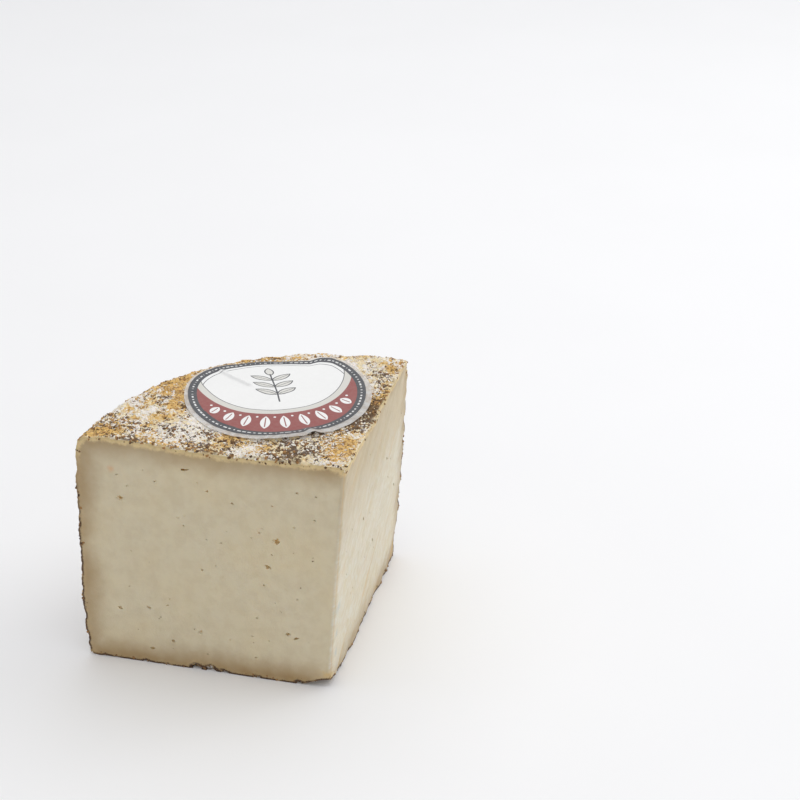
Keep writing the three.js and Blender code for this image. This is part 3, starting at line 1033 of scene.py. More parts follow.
def paste_material(outline):
    """Cut paste: ivory, tan towards the rind with a dark crust line, and soft knife marks."""
    look = settings().paste
    wheel = settings().wheel
    material, make, shader, place = new_material("paste")
    _, _, height = make.split(place)
    from_axis = make.math("DISTANCE", place * (1, 1, 0), (*outline.axis, 0))
    drop = height - wheel.belly_height
    climb = wheel.ridge_height - wheel.rim_radius - wheel.belly_height
    curve = (wheel.belly_radius - wheel.radius) / climb ** 2
    reach = wheel.belly_radius - drop * drop * curve
    wander = make.noise(place, 14 * MM, 3, 0.55, signed=True)

    def tanned(distance, sway, width, strength):
        """How tan the paste is at a distance from the rind, with a wandering edge."""
        return make.step(distance + wander * sway, -0.15 * width, width, strength, 0.0)

    beside = tanned(reach - from_axis, 3 * MM, 13 * MM, 0.8)
    above = tanned(wheel.hollow_height - height, 2 * MM, 12 * MM, 0.8)
    below = tanned(height, 3 * MM, 15 * MM, 1.0)
    mottle = make.noise(place, 5 * MM, 4, 0.6)
    broad = make.noise(place, 30 * MM, 2, 0.5)
    pores = make.noise(place, 0.7 * MM, 2, 0.6)
    base = make.mix(make.step(mottle, 0.35, 0.7, 0.0, 0.14), look.ivory, look.tan)
    base = make.mix(make.step(broad, 0.4, 0.7, 0.0, 0.15), base, look.honey)

    # The right cut is painted paler, as painted light that is strongest low down and brightest along
    # its slanted streaks as painted highlights, and it gets painted shade towards its top
    left, right = Cut("left"), Cut("right")
    start = float(-right.normal @ np.array([*right.point, right.top]))
    inside = make.math("DOT_PRODUCT", place, tuple(-right.normal)) - start
    on_right = make.step(inside, 0.9 * MM, 2.2 * MM, 1.0, 0.0)
    along = make.math("DOT_PRODUCT", place, (*right.along, 0))
    across = (along - height) * 0.71
    down = (along + height) * 0.71
    streaks = make.noise(make.join(across, down * 0.35, 0.0), 2.6 * MM, 3, 0.6, 1.6)
    # Painted light on the right cut, brighter along the knife's streaks as painted highlights and
    # fading towards the top
    painted_light_share = on_right * make.step(streaks, 0.42, 0.66, 0.35, 1.0)
    base = make.mix(painted_light_share * make.step(height, 60 * MM, 95 * MM, 1.0, 0.15), base, look.right_cut_painted_light)
    # Painted shade on the upper part of the right cut
    painted_top_shade = on_right * make.step(height, 45 * MM, 100 * MM, 0.0, 0.32)
    # The tan beside the rind is weaker on the right cut, as painted light
    tan = make.most(beside, above, below) * (1.0 - on_right * 0.25)
    base = make.mix(make.most(tan, painted_top_shade), base, look.tan)
    blotches = (
        # place, reach in mm, tone, strength
        (left.place(0.093, 0.088), 2.2, look.stain, 0.5),
        (left.place(0.007, 0.004), 7, look.corner, 0.9),
        (right.place(0.002, 0.036), 4, look.chill, 0.55),
        (right.place(0.002, 0.024), 3, look.chill, 0.55),
        (right.place(0.002, 0.015), 3, look.chill, 0.55),
    )
    for centre, size, tone, strength in blotches:
        base = blotch(make, place, base, centre, size * MM, tone, strength)

    # The layers under the rind, by depth in mm
    depth = make.attribute("depth") + (pores - 0.5) * 1.1
    gap = make.noise(place, 3 * MM, 3, 0.65)
    high = make.step(height, 88 * MM, 96 * MM, 0.15, 0.85)
    base = make.mix(make.step(depth + gap.swing(4.0), 0.6, 2.4, high, 0.0), base, look.honey)
    low = make.step(height, 55 * MM, 90 * MM, 1.0, 0.15)
    crust = make.step(depth, 0.4, 1.1, 1.0, 0.0) * make.step(gap, 0.32, 0.46, 0.25, 1.0)
    base = make.mix(crust * low, base, look.crust)
    # Painted shade on the walls of the eyes and chips
    base = make.mix(make.attribute("pit") * 0.85, base, look.eye)
    relief = streaks * on_right * 1.6 + pores * 0.3 + mottle * 0.5
    finish_material(make, shader, {
        "Base Color": base, "Roughness": 0.55, "Specular IOR Level": 0.35,
        **soft(0.3, 2.5 * MM, (1.0, 0.72, 0.42)),
    }, relief, 0.3 * MM)
    return material


def grain_material(name, main, other, roughness):
    """One kind of grain on the rind, varied a little from grain to grain."""
    material, make, shader, place = new_material(name)
    patch = make.noise(place, 2.2 * MM, 2, 0.6)
    tone = make.mix(make.step(patch, 0.38, 0.62), main, other)
    fleck = make.noise(place, 0.3 * MM, 2, 0.5)
    tone = make.mix(make.step(fleck, 0.5, 0.7, 0.0, 0.3), tone, other)
    finish_material(make, shader, {
        "Base Color": tone, "Roughness": roughness, **soft(0.1, 0.8 * MM, (1.0, 0.7, 0.45)),
    }, fleck, 0.12 * MM)
    return material


# Attributes that say where moulds and colours gather

# Patches on the top: attribute, middle in mm, reach in mm, strength
PATCHES = (
    ("bloom", -40, 24, 13, 1.0), ("bloom", -30, -3, 9, 1.0), ("bloom", -18, -22, 9, 1.3),
    ("bloom", -4, -33, 8, 0.45), ("bloom", 58, 6, 8, 0.6), ("bloom", -44, 36, 8, 0.4),
    ("bloom", 12, -28, 7, 0.35), ("bloom", 64, 10, 6, 0.4),
    ("ochre", -29, 46, 13, 0.9), ("ochre", -10, 49, 12, 0.9), ("ochre", -60, 25, 8, 0.55),
    ("ochre", 46, -8, 10, 0.9), ("ochre", 40, 32, 16, 0.6), ("ochre", 6, -44, 9, 0.7),
    ("ochre", -43, -4, 8, 0.5), ("ochre", 20, 47, 18, 0.7), ("ochre", 66, 8, 6, 0.6),
    ("soot", 20, -30, 8, 0.8), ("soot", 33, -20, 9, 0.95), ("soot", -24, 28, 8, 0.5),
    ("soot", -56, 36, 9, 0.8), ("soot", -66, 24, 6, 0.6), ("soot", 0, -27, 8, 0.5),
    ("soot", -48, 14, 7, 0.4), ("soot", 57, 0, 6, 0.4), ("soot", 3, -38, 8, 0.6),
    ("soot", -14, -26, 7, 0.4), ("soot", -34, -8, 6, 0.4),
)


# Heights where the side passes into the top and where the foot's darker rind ends
TOP_STARTS = 0.088
TOP_BLEND = 0.010
FOOT_ENDS = 0.02
# How deep under the rind grains still cling to the cuts, in mm, and how far from the rind a
# corner's depth is looked for
CLINGING = 0.9
DEEPEST = 0.05
# The height above which fewer crumbs cling to the cuts, and the share that does
FEWER_CRUMBS = (0.070, 0.4)
# How each kind gathers: its amount, two clouds with width in mm, shift and weight, what the side
# adds, what the foot adds, and what the cuts' edges add to its grains
FIELDS = {
    "bloom": (0.40, (16, 1.0, 0.7), (7, 3.1, 0.4), -0.02, 0, -0.6),
    "soot": (0.34, (14, 5.0, 0.6), (6, 8.0, 0.3), 0.04, 0.15, 0.8),
    "ochre": (0.40, (19, 9.0, 0.8), (7, 3.1, -0.3), -0.2, 0, 0.2),
}


def cloud(points, width, shift):
    """Broad noise at each point, about -0.5 to 0.5."""
    offset = Vector((shift, 2.3 * shift, 0.7 * shift))
    return np.array([noise.noise(Vector(p) / width + offset) for p in points])


def mark_rind(body, outline):
    """Stores how much bloom, soot and ochre gather at each corner, and how deep it lies."""
    mesh = body.data
    points = read_points(mesh)
    height = points[:, 2]
    top = np.clip((height - TOP_STARTS) / TOP_BLEND, 0, 1)
    foot = np.clip(1 - height / FOOT_ENDS, 0, 1)
    side = 1 - top
    ragged = cloud(points, 7 * MM, 3.1)
    cuts = Cut("left"), Cut("right")
    into_cuts = np.minimum(*(cut.depth(points) for cut in cuts))
    near_edge = np.clip(1 - into_cuts / (2 * MM), 0, 1)
    uncovered = soft_step(off_label(points, outline), -0.5 * MM, 0.6 * MM)
    off_floor = soft_step(height, 0.3 * MM, 1.2 * MM)
    for kind, (amount, broad, fine, on_side, on_foot, at_edge) in FIELDS.items():
        values = np.full(len(points), amount)
        for width, shift, weight in (broad, fine):
            values += weight * cloud(points, width * MM, shift)
        for patch_kind, x, y, reach, strength in PATCHES:
            if patch_kind == kind:
                away = np.hypot(points[:, 0] - x * MM, points[:, 1] - y * MM) / (reach * MM)
                values += 0.5 * top * strength * np.exp(-(away ** 2)) * (1 + 0.8 * ragged)
        values = np.clip(values + on_side * side + on_foot * foot, 0, 1)
        store(mesh, kind, values)
        thick = np.clip((values - 0.25) / 0.5, 0, 1) * (1 - 0.4 * side) + at_edge * near_edge
        store(mesh, kind + "_grains", np.maximum(thick, 0) * uncovered * off_floor)
    rough_edge = into_cuts + 0.9 * MM * cloud(points, 3 * MM, 4.0)
    edge = np.clip(1 - (rough_edge - 0.3 * MM) / (1.3 * MM), 0, 1)
    store(mesh, "side", side)
    store(mesh, "edge", edge * top)
    inside = outline.radius_at(height) - np.linalg.norm(points[:, :2] - outline.axis, axis=1)
    under = np.minimum(inside, np.minimum(height, 0.0995 - height))
    # Where the walls of the eyes and chips lie, for the painted shade on them
    pit = np.clip((into_cuts - 0.30 * MM) / (0.5 * MM), 0, 1)
    store(mesh, "pit", pit * np.clip((under - 0.5 * MM) / (1.5 * MM), 0, 1))


def mark_depth(mesh, skin):
    """Stores how far each corner lies from the rind, in millimetres, and the crumbs beside it."""
    points = read_points(mesh)
    faces = [tuple(face.vertices) for face, kept in zip(mesh.polygons, skin) if kept]
    tree = BVHTree.FromPolygons(points.tolist(), faces)
    depth = np.zeros(len(points))
    corners = {v for face, kept in zip(mesh.polygons, skin) if not kept for v in face.vertices}
    for corner in corners:
        depth[corner] = tree.find_nearest(points[corner], DEEPEST)[3] / MM
    store(mesh, "depth", depth)
    paste = np.zeros(len(points), bool)
    paste[list(corners)] = True
    gaps = soft_step(cloud(points, 5 * MM, 6.0), -0.15, 0.1)
    lower = np.where(points[:, 2] < FEWER_CRUMBS[0], 1, FEWER_CRUMBS[1])
    off_floor = soft_step(points[:, 2], -0.2 * MM, 0.6 * MM)
    crumbs = paste * (depth < CLINGING) * lower * gaps * off_floor
    grains = np.zeros(len(points), np.float32)
    for kind in FIELDS:
        mesh.attributes[kind + "_grains"].data.foreach_get("value", grains)
        on_paste = crumbs if kind == "soot" else 0
        store(mesh, kind + "_grains", np.where(paste, on_paste, grains))


# Turns past which an edge stays sharp, in degrees
CHEESE_SHARP = 38
LABEL_SHARP = 50


def shade_smooth(mesh, limit):
    """Smooth faces with sharp edges where the faces turn more than the limit, in degrees."""
    mesh.shade_smooth()
    mesh.set_sharp_from_angle(angle=math.radians(limit))


def scene_object(name):
    found = bpy.data.objects.get(name)
    if found is None:
        raise RuntimeError(f"{name} isn't made yet")
    return found


def remove(*things):
    for thing in things:
        mesh = thing.data
        bpy.data.objects.remove(thing)
        bpy.data.meshes.remove(mesh)


def combine(thing, other, operation):
    """Cuts or keeps a part of a mesh by another closed mesh."""
    modifier = thing.modifiers.new(operation.lower(), "BOOLEAN")
    modifier.operation = operation
    modifier.solver = "MANIFOLD"
    modifier.object = other
    keep_result(thing)
    remove(other)
    if not thing.data.polygons:
        raise RuntimeError("the cheese is empty after " + operation)


# What is paste and not rind: faces near a cut's plane that point along it, upright faces near the
# wedge's edge, and all that lies this far inside the rind
NEAR_CUT = 0.9 * MM
FACING_CUT = 0.8
EDGE_REACH = 12 * MM
EDGE_UPRIGHT = 0.45
EDGE_TOP = 0.0985
INSIDE_RIND = 2.2 * MM
ABOVE_BOTTOM = 5 * MM
UNDER_TOP = 1.6 * MM


def find_paste_faces(mesh, outline):
    """True for the faces of the two cuts and of the pits."""
    centres, normals = np.zeros((2, len(mesh.polygons) * 3))
    mesh.polygons.foreach_get("center", centres)
    mesh.polygons.foreach_get("normal", normals)
    centres, normals = centres.reshape(-1, 3), normals.reshape(-1, 3)
    height = centres[:, 2]
    cut = np.zeros(len(centres), bool)
    for side in ("left", "right"):
        plane = Cut(side)
        cut |= (plane.depth(centres) < NEAR_CUT) & (normals @ plane.normal > FACING_CUT)
    from_edge = np.linalg.norm(centres[:, :2] - np.array(outline.wheel.point), axis=1)
    cut |= (from_edge < EDGE_REACH) & (abs(normals[:, 2]) < EDGE_UPRIGHT) & (height < EDGE_TOP)
    inside = outline.radius_at(height) - np.hypot(*(centres[:, :2] - outline.axis).T)
    top = outline.wheel.hollow_height - UNDER_TOP
    return cut | (inside > INSIDE_RIND) & (height > ABOVE_BOTTOM) & (height < top)


class GOAT_OT_cheese(bpy.types.Operator):
    """Makes the quarter: the wheel's form, its relief, the two cuts, the eyes and the chips"""

    bl_idname = "goat_cheese.cheese"
    bl_label = "Cut the quarter"

    def execute(self, context):
        sizes = settings().relief
        cuts = settings().cuts
        outline = Outline(settings().wheel)
        body = make_blank(outline)
        body.name = "cheese_body"
        names = ("swell", "lump", "crag", "grain", "under_label", "pressed_flat")
        names += tuple(name + "_width" for name in names[:4])
        values = {name.replace("_", " ").title(): getattr(sizes, name) for name in names}
        values |= {
            "Point Lift": cuts.point_lift, "Point Reach": cuts.point_reach,
            "Point Below": (*wedge_edge(0.0)[1], 0.0),
        }
        settle(body, relief_tree(), values)
        combine(body, make_quarter_block(outline), "INTERSECT")
        combine(body, make_lumps(), "DIFFERENCE")
        mesh = body.data
        mark_rind(body, outline)
        mesh.materials.clear()
        mesh.materials.append(rind_material())
        mesh.materials.append(paste_material(outline))
        cut = find_paste_faces(mesh, outline)
        mesh.polygons.foreach_set("material_index", cut.astype(np.int32))
        mark_depth(mesh, ~cut)
        shade_smooth(mesh, CHEESE_SHARP)
        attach(body, BODY)
        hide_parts("cheese")
        return {"FINISHED"}


# The grains that stand on the rind


GRAINS = (
    # name, colours, grains for each square metre, sizes in mm, flatness, roughness
    ("bloom_grains", ("bloom", "cream"), 1.0e6, 0.35, 1.3, 0.4, 0.95),
    ("soot_grains", ("soot", "tan"), 0.9e6, 0.3, 1.3, 0.6, 0.8),
    ("ochre_grains", ("ochre", "tan"), 0.8e6, 0.4, 1.3, 0.5, 0.85),
)
# How far a grain's corners are shaken, as a share of the largest grain
GRAIN_SHAKE = 0.35
# Faces that look down more than this are the bottom, where no grain stands
BOTTOM_FACING = -0.8


def bare_rind():
    """A copy of the rind and of the cuts' edges beside it, for the grains to stand on."""
    mesh = scene_object("cheese_body").data.copy()
    work = bmesh.new()
    work.from_mesh(mesh)
    depth = work.verts.layers.float["depth"]
    left_out = [
        face for face in work.faces if face.normal.z < BOTTOM_FACING
        or face.material_index and min(v[depth] for v in face.verts) > CLINGING
    ]
    bmesh.ops.delete(work, geom=left_out, context="FACES")
    work.to_mesh(mesh)
    work.free()
    return mesh


class GOAT_OT_grains(bpy.types.Operator):
    """Strews the rind with white mould, dark specks and ochre crumbs"""

    bl_idname = "goat_cheese.grains"
    bl_label = "Strew the rind's grains"

    def execute(self, context):
        look = settings().rind
        for lane, (name, tones, density, small, large, flatness, rough) in enumerate(GRAINS):
            main, other = (getattr(look, tone) for tone in tones)
            material = grain_material(name, main, other, rough)
            grains = bpy.data.objects.new(name, bare_rind())
            context.scene.collection.objects.link(grains)
            values = {
                "Density": density, "Smallest": small * MM, "Largest": large * MM,
                "Flatness": flatness, "Roughness": GRAIN_SHAKE, "Seed": settings().grain_seed + lane,
            }
            settle(grains, grain_tree(name, material), values)
            if not grains.data.polygons:
                raise RuntimeError("no grains were strewn for " + name)
            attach(grains, BODY)
        return {"FINISHED"}


# The label


# The width of the plan that the label's UV map spans
UV_SPAN = 0.1
# The sheets' corners round and the spacing of their rings, and how far the film goes under the
# print's edge
SHEET_CORNERS = 320
SHEET_ROWS = 0.6 * MM
FILM_UNDER_PRINT = 0.4 * MM


def ring_rows(radii, steps):
    """Plan of a round sheet as rings of corners about its middle."""
    angle = np.linspace(0, math.tau, steps, endpoint=False)
    ring = np.column_stack([np.cos(angle), np.sin(angle)])
    return [radius * ring if radius else np.zeros((1, 2)) for radius in radii]


def bell(distance, width):
    return np.exp(-(distance / width) ** 2)


def line_distance(points, start, end):
    """Distance of points from a straight line between two ends."""
    start, end = np.array(start) * MM, np.array(end) * MM
    run = end - start
    share = np.clip((points - start) @ run / (run @ run), 0, 1)
    return np.linalg.norm(points - start - share[:, None] * run, axis=1)


# The label's creases: both ends in mm on the flat label, share of the crease's height, width in mm
CREASES = (((-10, 34), (-6, 12), 1.0, 1.2), ((-32, -1), (-27, -16), 0.5, 1.3))
# Where the front edge stands off and where its tuck lies: direction and width in radians
LOOSE = (-1.92, 0.42)
TUCK = (-1.69, 0.06)
# The margin's ripples: count round the label, shift, height in mm
RIPPLES = ((23, 0.4, 0.10), (41, 1.7, 0.08), (67, 2.9, 0.05))


def label_lift(plan):
    """How far the label stands off the rind: creases, the tuck and the loose edge at the front."""
    sizes = settings().label
    radius = np.linalg.norm(plan, axis=1)
    angle = np.arctan2(plan[:, 1], plan[:, 0])
    outer = soft_step(radius, 0.80 * sizes.film_radius, sizes.film_radius)
    crease = sizes.crease * (1 - 0.85 * soft_step(radius, 0.030, 0.035))
    lift = np.zeros(len(plan))
    for start, end, share, width in CREASES:
        lift += share * crease * bell(line_distance(plan, start, end), width * MM)
    for height, (place, width) in ((sizes.loose, LOOSE), (sizes.tuck, TUCK)):
        lift += height * outer * bell(angle - place, width)
    margin = soft_step(radius, sizes.print_radius - 2 * MM, sizes.film_radius)
    margin *= soft_step(-plan @ label_axes()[1], -20 * MM, 5 * MM)
    for turns, shift, height in RIPPLES:
        patch = 0.5 + 0.5 * np.sin(3 * angle + shift)
        lift += height * MM * margin * patch * (1 + np.sin(turns * angle + shift))
    return lift


class Drape:
    """Lays round sheets on the finished rind, smoothly over its highest crumbs."""

    # Where rays start above the smooth wheel and how far they look for the rind
    START = 6 * MM
    REACH = 12 * MM
    # The round grid's rings and spokes, how far it goes past the film, and rounds of smoothing
    RINGS = 47
    SPOKES = 240
    SPARE = 2 * MM
    ROUNDS = 60

    def __init__(self, outline):
        body = scene_object("cheese_body").data
        faces = [tuple(face.vertices) for face in body.polygons]
        self.rind = BVHTree.FromPolygons(read_points(body).tolist(), faces)
        self.outline = outline
        self.radii = np.linspace(0, settings().label.film_radius + self.SPARE, self.RINGS)
        self.angles = np.linspace(0, math.tau, self.SPOKES, endpoint=False)
        self.heights = self.settle()

    def rolled(self, plan):
        flat = gathered(plan) + label_middle()
        return np.linalg.norm(flat, axis=1), np.arctan2(flat[:, 1], flat[:, 0])

    def rind_height(self, plan):
        along, angle = self.rolled(plan)
        starts = self.outline.place(along, angle, self.START)
        ways = self.outline.facing(along, angle)
        heights = np.zeros(len(plan))
        for i, (point, way) in enumerate(zip(starts, ways)):
            hit = self.rind.ray_cast(point, -Vector(way), self.REACH)
            if hit[0] is not None:
                heights[i] = self.START - hit[3]
        return heights

    def settle(self):
        """Heights on a round grid: the rind's own, with the hollows bridged by the stiff film."""
        ring = np.column_stack([np.cos(self.angles), np.sin(self.angles)])
        plan = (self.radii[:, None, None] * ring).reshape(-1, 2)
        rind = self.rind_height(plan).reshape(len(self.radii), -1)
        rind[0] = rind[0].mean()
        sheet = rind
        for _ in range(self.ROUNDS):
            around = (np.roll(sheet, 1, 1) + np.roll(sheet, -1, 1)) / 2
            inner = np.vstack([sheet[:1], sheet[:-1]])
            outer = np.vstack([sheet[1:], sheet[-1:]])
            sheet = np.maximum((around + inner + outer) / 3, rind)
            sheet[0] = sheet[1].mean()
        return sheet + label_lift(plan).reshape(rind.shape) + settings().label.clearance

    def heights_at(self, plan):
        """The sheet's heights between the corners of the grid."""
        last = self.RINGS - 1
        row = np.clip(np.linalg.norm(plan, axis=1) / self.radii[-1] * last, 0, last)
        turn = np.mod(np.arctan2(plan[:, 1], plan[:, 0]), math.tau) / math.tau * self.SPOKES
        low_row, low_turn = np.floor(row).astype(int), np.floor(turn).astype(int)
        high_row = np.minimum(low_row + 1, last)
        a, b = row - low_row, turn - low_turn
        high_turn = (low_turn + 1) % self.SPOKES
        low_turn %= self.SPOKES
        h = self.heights
        low = h[low_row, low_turn] * (1 - b) + h[low_row, high_turn] * b
        high = h[high_row, low_turn] * (1 - b) + h[high_row, high_turn] * b
        return low * (1 - a) + high * a

    def points(self, plan, lift):
        along, angle = self.rolled(plan)
        return self.outline.place(along, angle, self.heights_at(plan) + lift)


def label_plans(inner, outer, shift):
    """Plans of rings of corners. The outer ones move aside by the shift, the inner one stays."""
    aside, back = label_axes()
    move = shift[0] * aside + shift[1] * back
    radii = np.linspace(inner, outer, max(4, round((outer - inner) / SHEET_ROWS)))
    shares = (radii - inner) / (outer - inner)
    return [plan + share * move for plan, share in zip(ring_rows(radii, SHEET_CORNERS), shares)]


def label_sheet(name, drape, plans, under, over, material):
    """A thin closed sheet or ring through rings of corners, with its plan as its UV map."""
    half = len(plans)
    layers = [(plan, lift) for lift in (over, under) for plan in plans]
    flat = np.vstack([plan for plan, _ in layers])
    ids = numbered_rows([plan for plan, _ in layers])
    closed = [row + row[:1] if len(row) > 1 else row for row in ids]
    pairs = [(k, k + 1) for first in (0, half) for k in range(first, first + half - 1)]
    pairs.append((half - 1, 2 * half - 1))
    if len(plans[0]) > 1:
        pairs.append((0, half))
    faces = [face for one, next_one in pairs for face in zip_rows(closed[one], closed[next_one])]
    points = np.vstack([drape.points(plan, lift) for plan, lift in layers])
    sheet = new_object(name, points, faces)
    mesh = sheet.data
    face_outwards(mesh)
    turn = settings().label.turn
    right = np.array([math.cos(turn), math.sin(turn)])
    up = np.array([-right[1], right[0]])
    uv = np.column_stack([flat @ right, flat @ up]) / UV_SPAN + 0.5
    corners = np.zeros(len(mesh.loops), int)
    mesh.loops.foreach_get("vertex_index", corners)
    mesh.uv_layers.new(name="label").data.foreach_set("uv", uv[corners].ravel())
    shade_smooth(mesh, LABEL_SHARP)
    mesh.materials.append(material)
    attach(sheet, BODY)
    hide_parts("label")


class Ink:
    """Draws flat shapes on the label. Shapes are distances in mm, negative inside."""

    def __init__(self, make):
        self.make = make
        plan = make.give("ShaderNodeTexCoord", output="UV")
        self.place = (plan - (0.5, 0.5, 0)) * (UV_SPAN / MM)
        self.x, self.y, _ = make.split(self.place)

    def disc(self, x, y, radius):
        return self.make.math("DISTANCE", self.place, (x, y, 0)) - radius

    def leaf(self, x, y, half_length, half_width):
        """A pointed leaf along y about the place where x and y are 0."""
        bow = (half_length * half_length + half_width ** 2) / (2 * half_width)
        side = abs(x) + (bow - half_width)
        return self.make.math("LENGTH", self.make.join(side, y, 0.0)) - bow

    def inside(self, distance):
        return self.make.step(distance, -0.06, 0.06, 1.0, 0.0)

    def line(self, distance, width):
        return self.inside(abs(distance) - width / 2)

    def repeat(self, value, pitch):
        """A value that runs from -pitch / 2 to pitch / 2 again and again, and its count."""
        share = value / pitch
        count = self.make.math("ROUND", share)
        return (share - count) * pitch, count


# The label's drawing, in mm from its middle
MOON = (0, 15, 29)
BAND_WIDTH = 3.0
SPRIG_FOOT = -7.5
SPRIG_TOP = 20.0
LEAVES_FOOT = -2.4
FIRST_LEAF = 1.5
STEM_HALF_WIDTH = 0.32
VEIN_HALF_WIDTH = 0.15
SPRIG_PITCH = 7.4
SPRIG_LEAF = (5.0, 1.9)
SPRIG_LEAN = math.radians(52)
SPRIG_TIP = (4.0, 1.7)
OUTLINE_WIDTH = 0.5
FINE_LINE = 0.3
BORDER_GAP = 1.6
# The crescent's leaves and dots: how far past the moon's edge their pitch holds, where a leaf
# lies and how far it moves out in the middle, its half sizes, and the row's half span in radians
ROW_PITCH = 7.4
ROW_HALF_COUNT = 4.5
ROW_MIDDLE = 8.5
PETAL_PLACE = (4.4, 5.6)
PETAL = (5.0, 1.9)
PETAL_FALL = 1.25
SLIT_HALF_WIDTH = 0.22
DOT_PLACE = 5.6
DOT_RADIUS = 0.55
DOT_SPAN = 0.95
# The dashes on the ring
DASH_PITCH = 2.1
DASH_HALF_WIDTH = 0.36


def sprig_inks(ink, make):
    """How strongly the sprig's leaves are filled, and where its dark lines run."""
    rung, _ = ink.repeat(ink.y - FIRST_LEAF, SPRIG_PITCH)
    sine, cosine = math.sin(SPRIG_LEAN), math.cos(SPRIG_LEAN)
    from_stem = abs(ink.x)
    out = from_stem - SPRIG_LEAF[0] * sine
    across = out * cosine - rung * sine
    along = out * sine + rung * cosine
    leaf = ink.leaf(across, along, *SPRIG_LEAF)
    tip = ink.leaf(ink.x, ink.y - (SPRIG_TOP + 3.0), *SPRIG_TIP)
    rows = ink.inside(LEAVES_FOOT - ink.y) * ink.inside(ink.y - SPRIG_TOP)
    vein = ink.inside(abs(across) - VEIN_HALF_WIDTH) * ink.inside(leaf + 0.5) * rows
    stem = ink.inside(from_stem - STEM_HALF_WIDTH) * ink.inside(SPRIG_FOOT - ink.y)
    stem = stem * ink.inside(ink.y - (SPRIG_TOP + 0.5))
    leaf_line, tip_line = (ink.line(shape, OUTLINE_WIDTH) for shape in (leaf, tip))
    filled = make.most(ink.inside(leaf) * rows, ink.inside(tip))
    return filled, make.most(leaf_line * rows, tip_line, vein, stem)


def crescent_inks(ink, make):
    """Where the crescent's row of leaves and dots lies."""
    below = MOON[1] - ink.y
    from_moon = make.math("LENGTH", make.join(ink.x, below, 0.0))
    turn = make.math("ARCTAN2", ink.x, below)
    along = turn * (MOON[2] + ROW_MIDDLE)
    u, count = ink.repeat(along, ROW_PITCH)
    falling = make.math("COSINE", turn * PETAL_FALL)
    nearest, swell = PETAL_PLACE
    v = from_moon - (falling * swell + (MOON[2] + nearest))
    petal = ink.leaf(u, v, falling * PETAL[0], PETAL[1])
    slit = ink.inside(abs(u) - SLIT_HALF_WIDTH) * ink.inside(petal + 0.7)
    petals = ink.inside(petal) * ink.inside(abs(count) - ROW_HALF_COUNT) * (1.0 - slit)
    between, _ = ink.repeat(along + ROW_PITCH / 2, ROW_PITCH)
    dot = make.math("LENGTH", make.join(between, from_moon - (MOON[2] + DOT_PLACE), 0.0))
    return make.most(petals, ink.inside(dot - DOT_RADIUS) * ink.inside(abs(turn) - DOT_SPAN))


def dash_ink(ink, make, away, middle_of_ring):
    """Where the dashes of uneven length lie on the dark ring."""
    turn = make.math("ARCTAN2", ink.x, ink.y)
    u, count = ink.repeat(turn * middle_of_ring, DASH_PITCH)
    chance = make.give("ShaderNodeTexWhiteNoise", {"W": count}, "Value", noise_dimensions="1D")
    reach = make.step(chance, 0.0, 1.0, 0.15, 0.85)
    return ink.inside(make.most(abs(u) - reach, abs(away - middle_of_ring) - DASH_HALF_WIDTH))


def print_material():
    """The label's print: a dark ring of dashes, a pale field with a sprig and a red crescent."""
    sizes = settings().label
    look = settings().label_colours
    material, make, shader, place = new_material("label_print")
    ink = Ink(make)
    ring_inside = (sizes.print_radius - sizes.ring_width) / MM
    middle_of_ring = ring_inside + sizes.ring_width / MM / 2
    away = make.math("LENGTH", ink.place)
    moon = ink.disc(*MOON)
    base = make.mix(ink.inside(moon - BAND_WIDTH), look.field, look.band)
    base = make.mix(ink.inside(moon), base, look.paper)
    base = make.mix(ink.line(moon, FINE_LINE), base, look.ring)
    filled, lines = sprig_inks(ink, make)
    base = make.mix(filled * 0.8, base, look.band)
    border = ink.line(away - (ring_inside - BORDER_GAP), FINE_LINE) * ink.inside(moon)
    base = make.mix(make.most(lines, border), base, look.ring)
    base = make.mix(crescent_inks(ink, make), base, look.paper)
    base = make.mix(ink.inside(ring_inside - away), base, look.ring)
    base = make.mix(dash_ink(ink, make, away, middle_of_ring) * 0.85, base, look.paper)
    fibre = make.noise(place, 1.5 * MM, 3, 0.6)
    base = make.mix(make.step(fibre, 0.3, 0.7, 0.0, 0.05), base, look.band)
    ripple = make.noise(place, 3.5 * MM, 2, 0.5)
    values = {"Base Color": base, "Roughness": 0.36, "Specular IOR Level": 0.5}
    finish_material(make, shader, values, ripple, 0.12 * MM)
    return material


def film_material():
    """The clear film's margin, milky in patches."""
    look = settings().label_colours
    material, make, shader, place = new_material("label_film")
    milky = make.step(make.noise(place, 2.5 * MM, 3, 0.6), 0.35, 0.65)
    tone = make.mix(milky, look.film, look.paper)
    ripple = make.noise(place, 1.6 * MM, 2, 0.5)
    values = {"Base Color": tone, "Roughness": 0.3, "Alpha": 0.5, "IOR": 1.45}
    finish_material(make, shader, values, ripple, 0.25 * MM)
    return material


class GOAT_OT_label(bpy.types.Operator):
    """Lays the printed label and its clear margin on the rind, with a crease and a loose edge"""

    bl_idname = "goat_cheese.label"
    bl_label = "Lay the label"

    def execute(self, context):
        sizes = settings().label
        drape = Drape(Outline(settings().wheel))
        thin = sizes.thickness
        whole = label_plans(0, sizes.print_radius, (0, 0))
        label_sheet("label_print", drape, whole, thin, 2 * thin, print_material())
        inner = sizes.print_radius - FILM_UNDER_PRINT
        margin = label_plans(inner, sizes.film_radius, sizes.film_shift)
        label_sheet("label_film", drape, margin, 0, 0.9 * thin, film_material())
        return {"FINISHED"}


FLOOR_REACH = 3.0
# The lights: name, place, length of their sides and tint, all aimed at the cheese's middle
LIGHTS = (
    ("key", (0.35, 0.15, 1.4), 2.4, (1, 0.99, 0.98)),
    ("side", (1.3, -0.35, 0.75), 0.9, (0.97, 0.985, 1)),
    ("fill", (-1.2, -1.0, 0.8), 1.4, (0.98, 0.99, 1)),
)
CHEESE_MIDDLE = Vector((0, 0, 0.05))


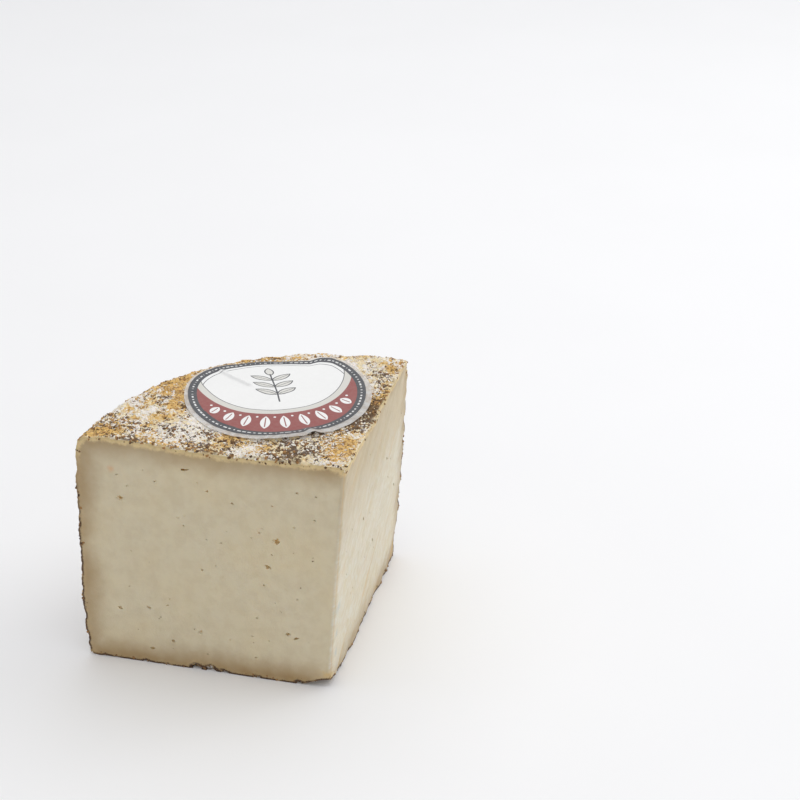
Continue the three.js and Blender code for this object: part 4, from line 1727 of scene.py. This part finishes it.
class GOAT_OT_stage(bpy.types.Operator):
    """Makes the pale floor, the soft lights and the camera"""

    bl_idname = "goat_cheese.stage"
    bl_label = "Set the stage"

    def execute(self, context):
        look = settings().stage
        self.add_floor(look)
        self.add_lights(look)
        self.add_room(look)
        self.add_camera(look)
        context.scene.view_settings.view_transform = "Standard"
        return {"FINISHED"}

    def add_floor(self, look):
        far = FLOOR_REACH
        corners = [(-far, -far, 0), (far, -far, 0), (far, far, 0), (-far, far, 0)]
        floor = new_object("floor", corners, [(0, 1, 2, 3)])
        material, make, shader, place = new_material("floor")
        dust = make.step(make.noise(place, 0.12, 2, 0.5), 0.3, 0.7, 0.0, 0.04)
        tone = make.mix(dust, look.floor, (0.7, 0.7, 0.7))
        finish_material(make, shader, {"Base Color": tone, "Roughness": 0.7})
        floor.data.materials.append(material)

    def add_lights(self, look):
        for name, place, size, tint in LIGHTS:
            lamp = bpy.data.lights.new(name, "AREA")
            lamp.shape = "SQUARE"
            lamp.size = size
            lamp.energy = getattr(look, name + "_power")
            lamp.color = tint
            thing = bpy.data.objects.new(name, lamp)
            thing.location = place
            aim = CHEESE_MIDDLE - Vector(place)
            thing.rotation_euler = aim.to_track_quat("-Z", "Y").to_euler()
            bpy.context.scene.collection.objects.link(thing)

    def add_room(self, look):
        world = bpy.data.worlds.new("room")
        world.use_nodes = True
        background = world.node_tree.nodes["Background"]
        background.inputs["Color"].default_value = (0.97, 0.98, 1.0, 1)
        background.inputs["Strength"].default_value = look.room
        bpy.context.scene.world = world

    def add_camera(self, look):
        camera = bpy.data.objects.new("camera", bpy.data.cameras.new("camera"))
        bpy.context.scene.collection.objects.link(camera)
        flat = math.cos(look.elevation)
        ahead = Vector((
            -math.sin(look.azimuth) * flat, math.cos(look.azimuth) * flat,
            -math.sin(look.elevation),
        ))
        camera.location = look.camera_place
        camera.rotation_euler = ahead.to_track_quat("-Z", "Y").to_euler()
        camera.data.lens = look.lens
        camera.data.sensor_width = 36
        camera.data.clip_start = 0.01
        bpy.context.scene.camera = camera


PANEL_GROUPS = ("wheel", "cuts", "relief", "rind", "paste", "label", "label_colours", "stage")


class GOAT_PT_panel(bpy.types.Panel):
    """The steps that make the cheese, in order"""

    bl_idname = "GOAT_PT_panel"
    bl_label = "Goat cheese"
    bl_space_type = "VIEW_3D"
    bl_region_type = "UI"
    bl_category = "Cheese"

    def draw(self, context):
        for step in STEPS:
            self.layout.operator(step.bl_idname)
        for group in PANEL_GROUPS:
            box = self.layout.box()
            values = getattr(settings(), group)
            for name in type(values).__annotations__:
                box.prop(values, name)


STEPS = (GOAT_OT_cheese, GOAT_OT_grains, GOAT_OT_label, GOAT_OT_stage)
CLASSES = (
    WheelSizes, CutSizes, ReliefSizes, RindColours, PasteColours, LabelSizes, LabelColours,
    StageSettings, CheeseSettings, *STEPS, GOAT_PT_panel,
)


def register():
    for cls in CLASSES:
        bpy.utils.register_class(cls)
    bpy.types.Scene.goat_cheese = PointerProperty(type=CheeseSettings)


def unregister():
    del bpy.types.Scene.goat_cheese
    for cls in reversed(CLASSES):
        bpy.utils.unregister_class(cls)


def main():
    register()
    for step in STEPS:
        area, name = step.bl_idname.split(".")
        getattr(getattr(bpy.ops, area), name)()
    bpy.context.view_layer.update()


if __name__ == "__main__":
    main()
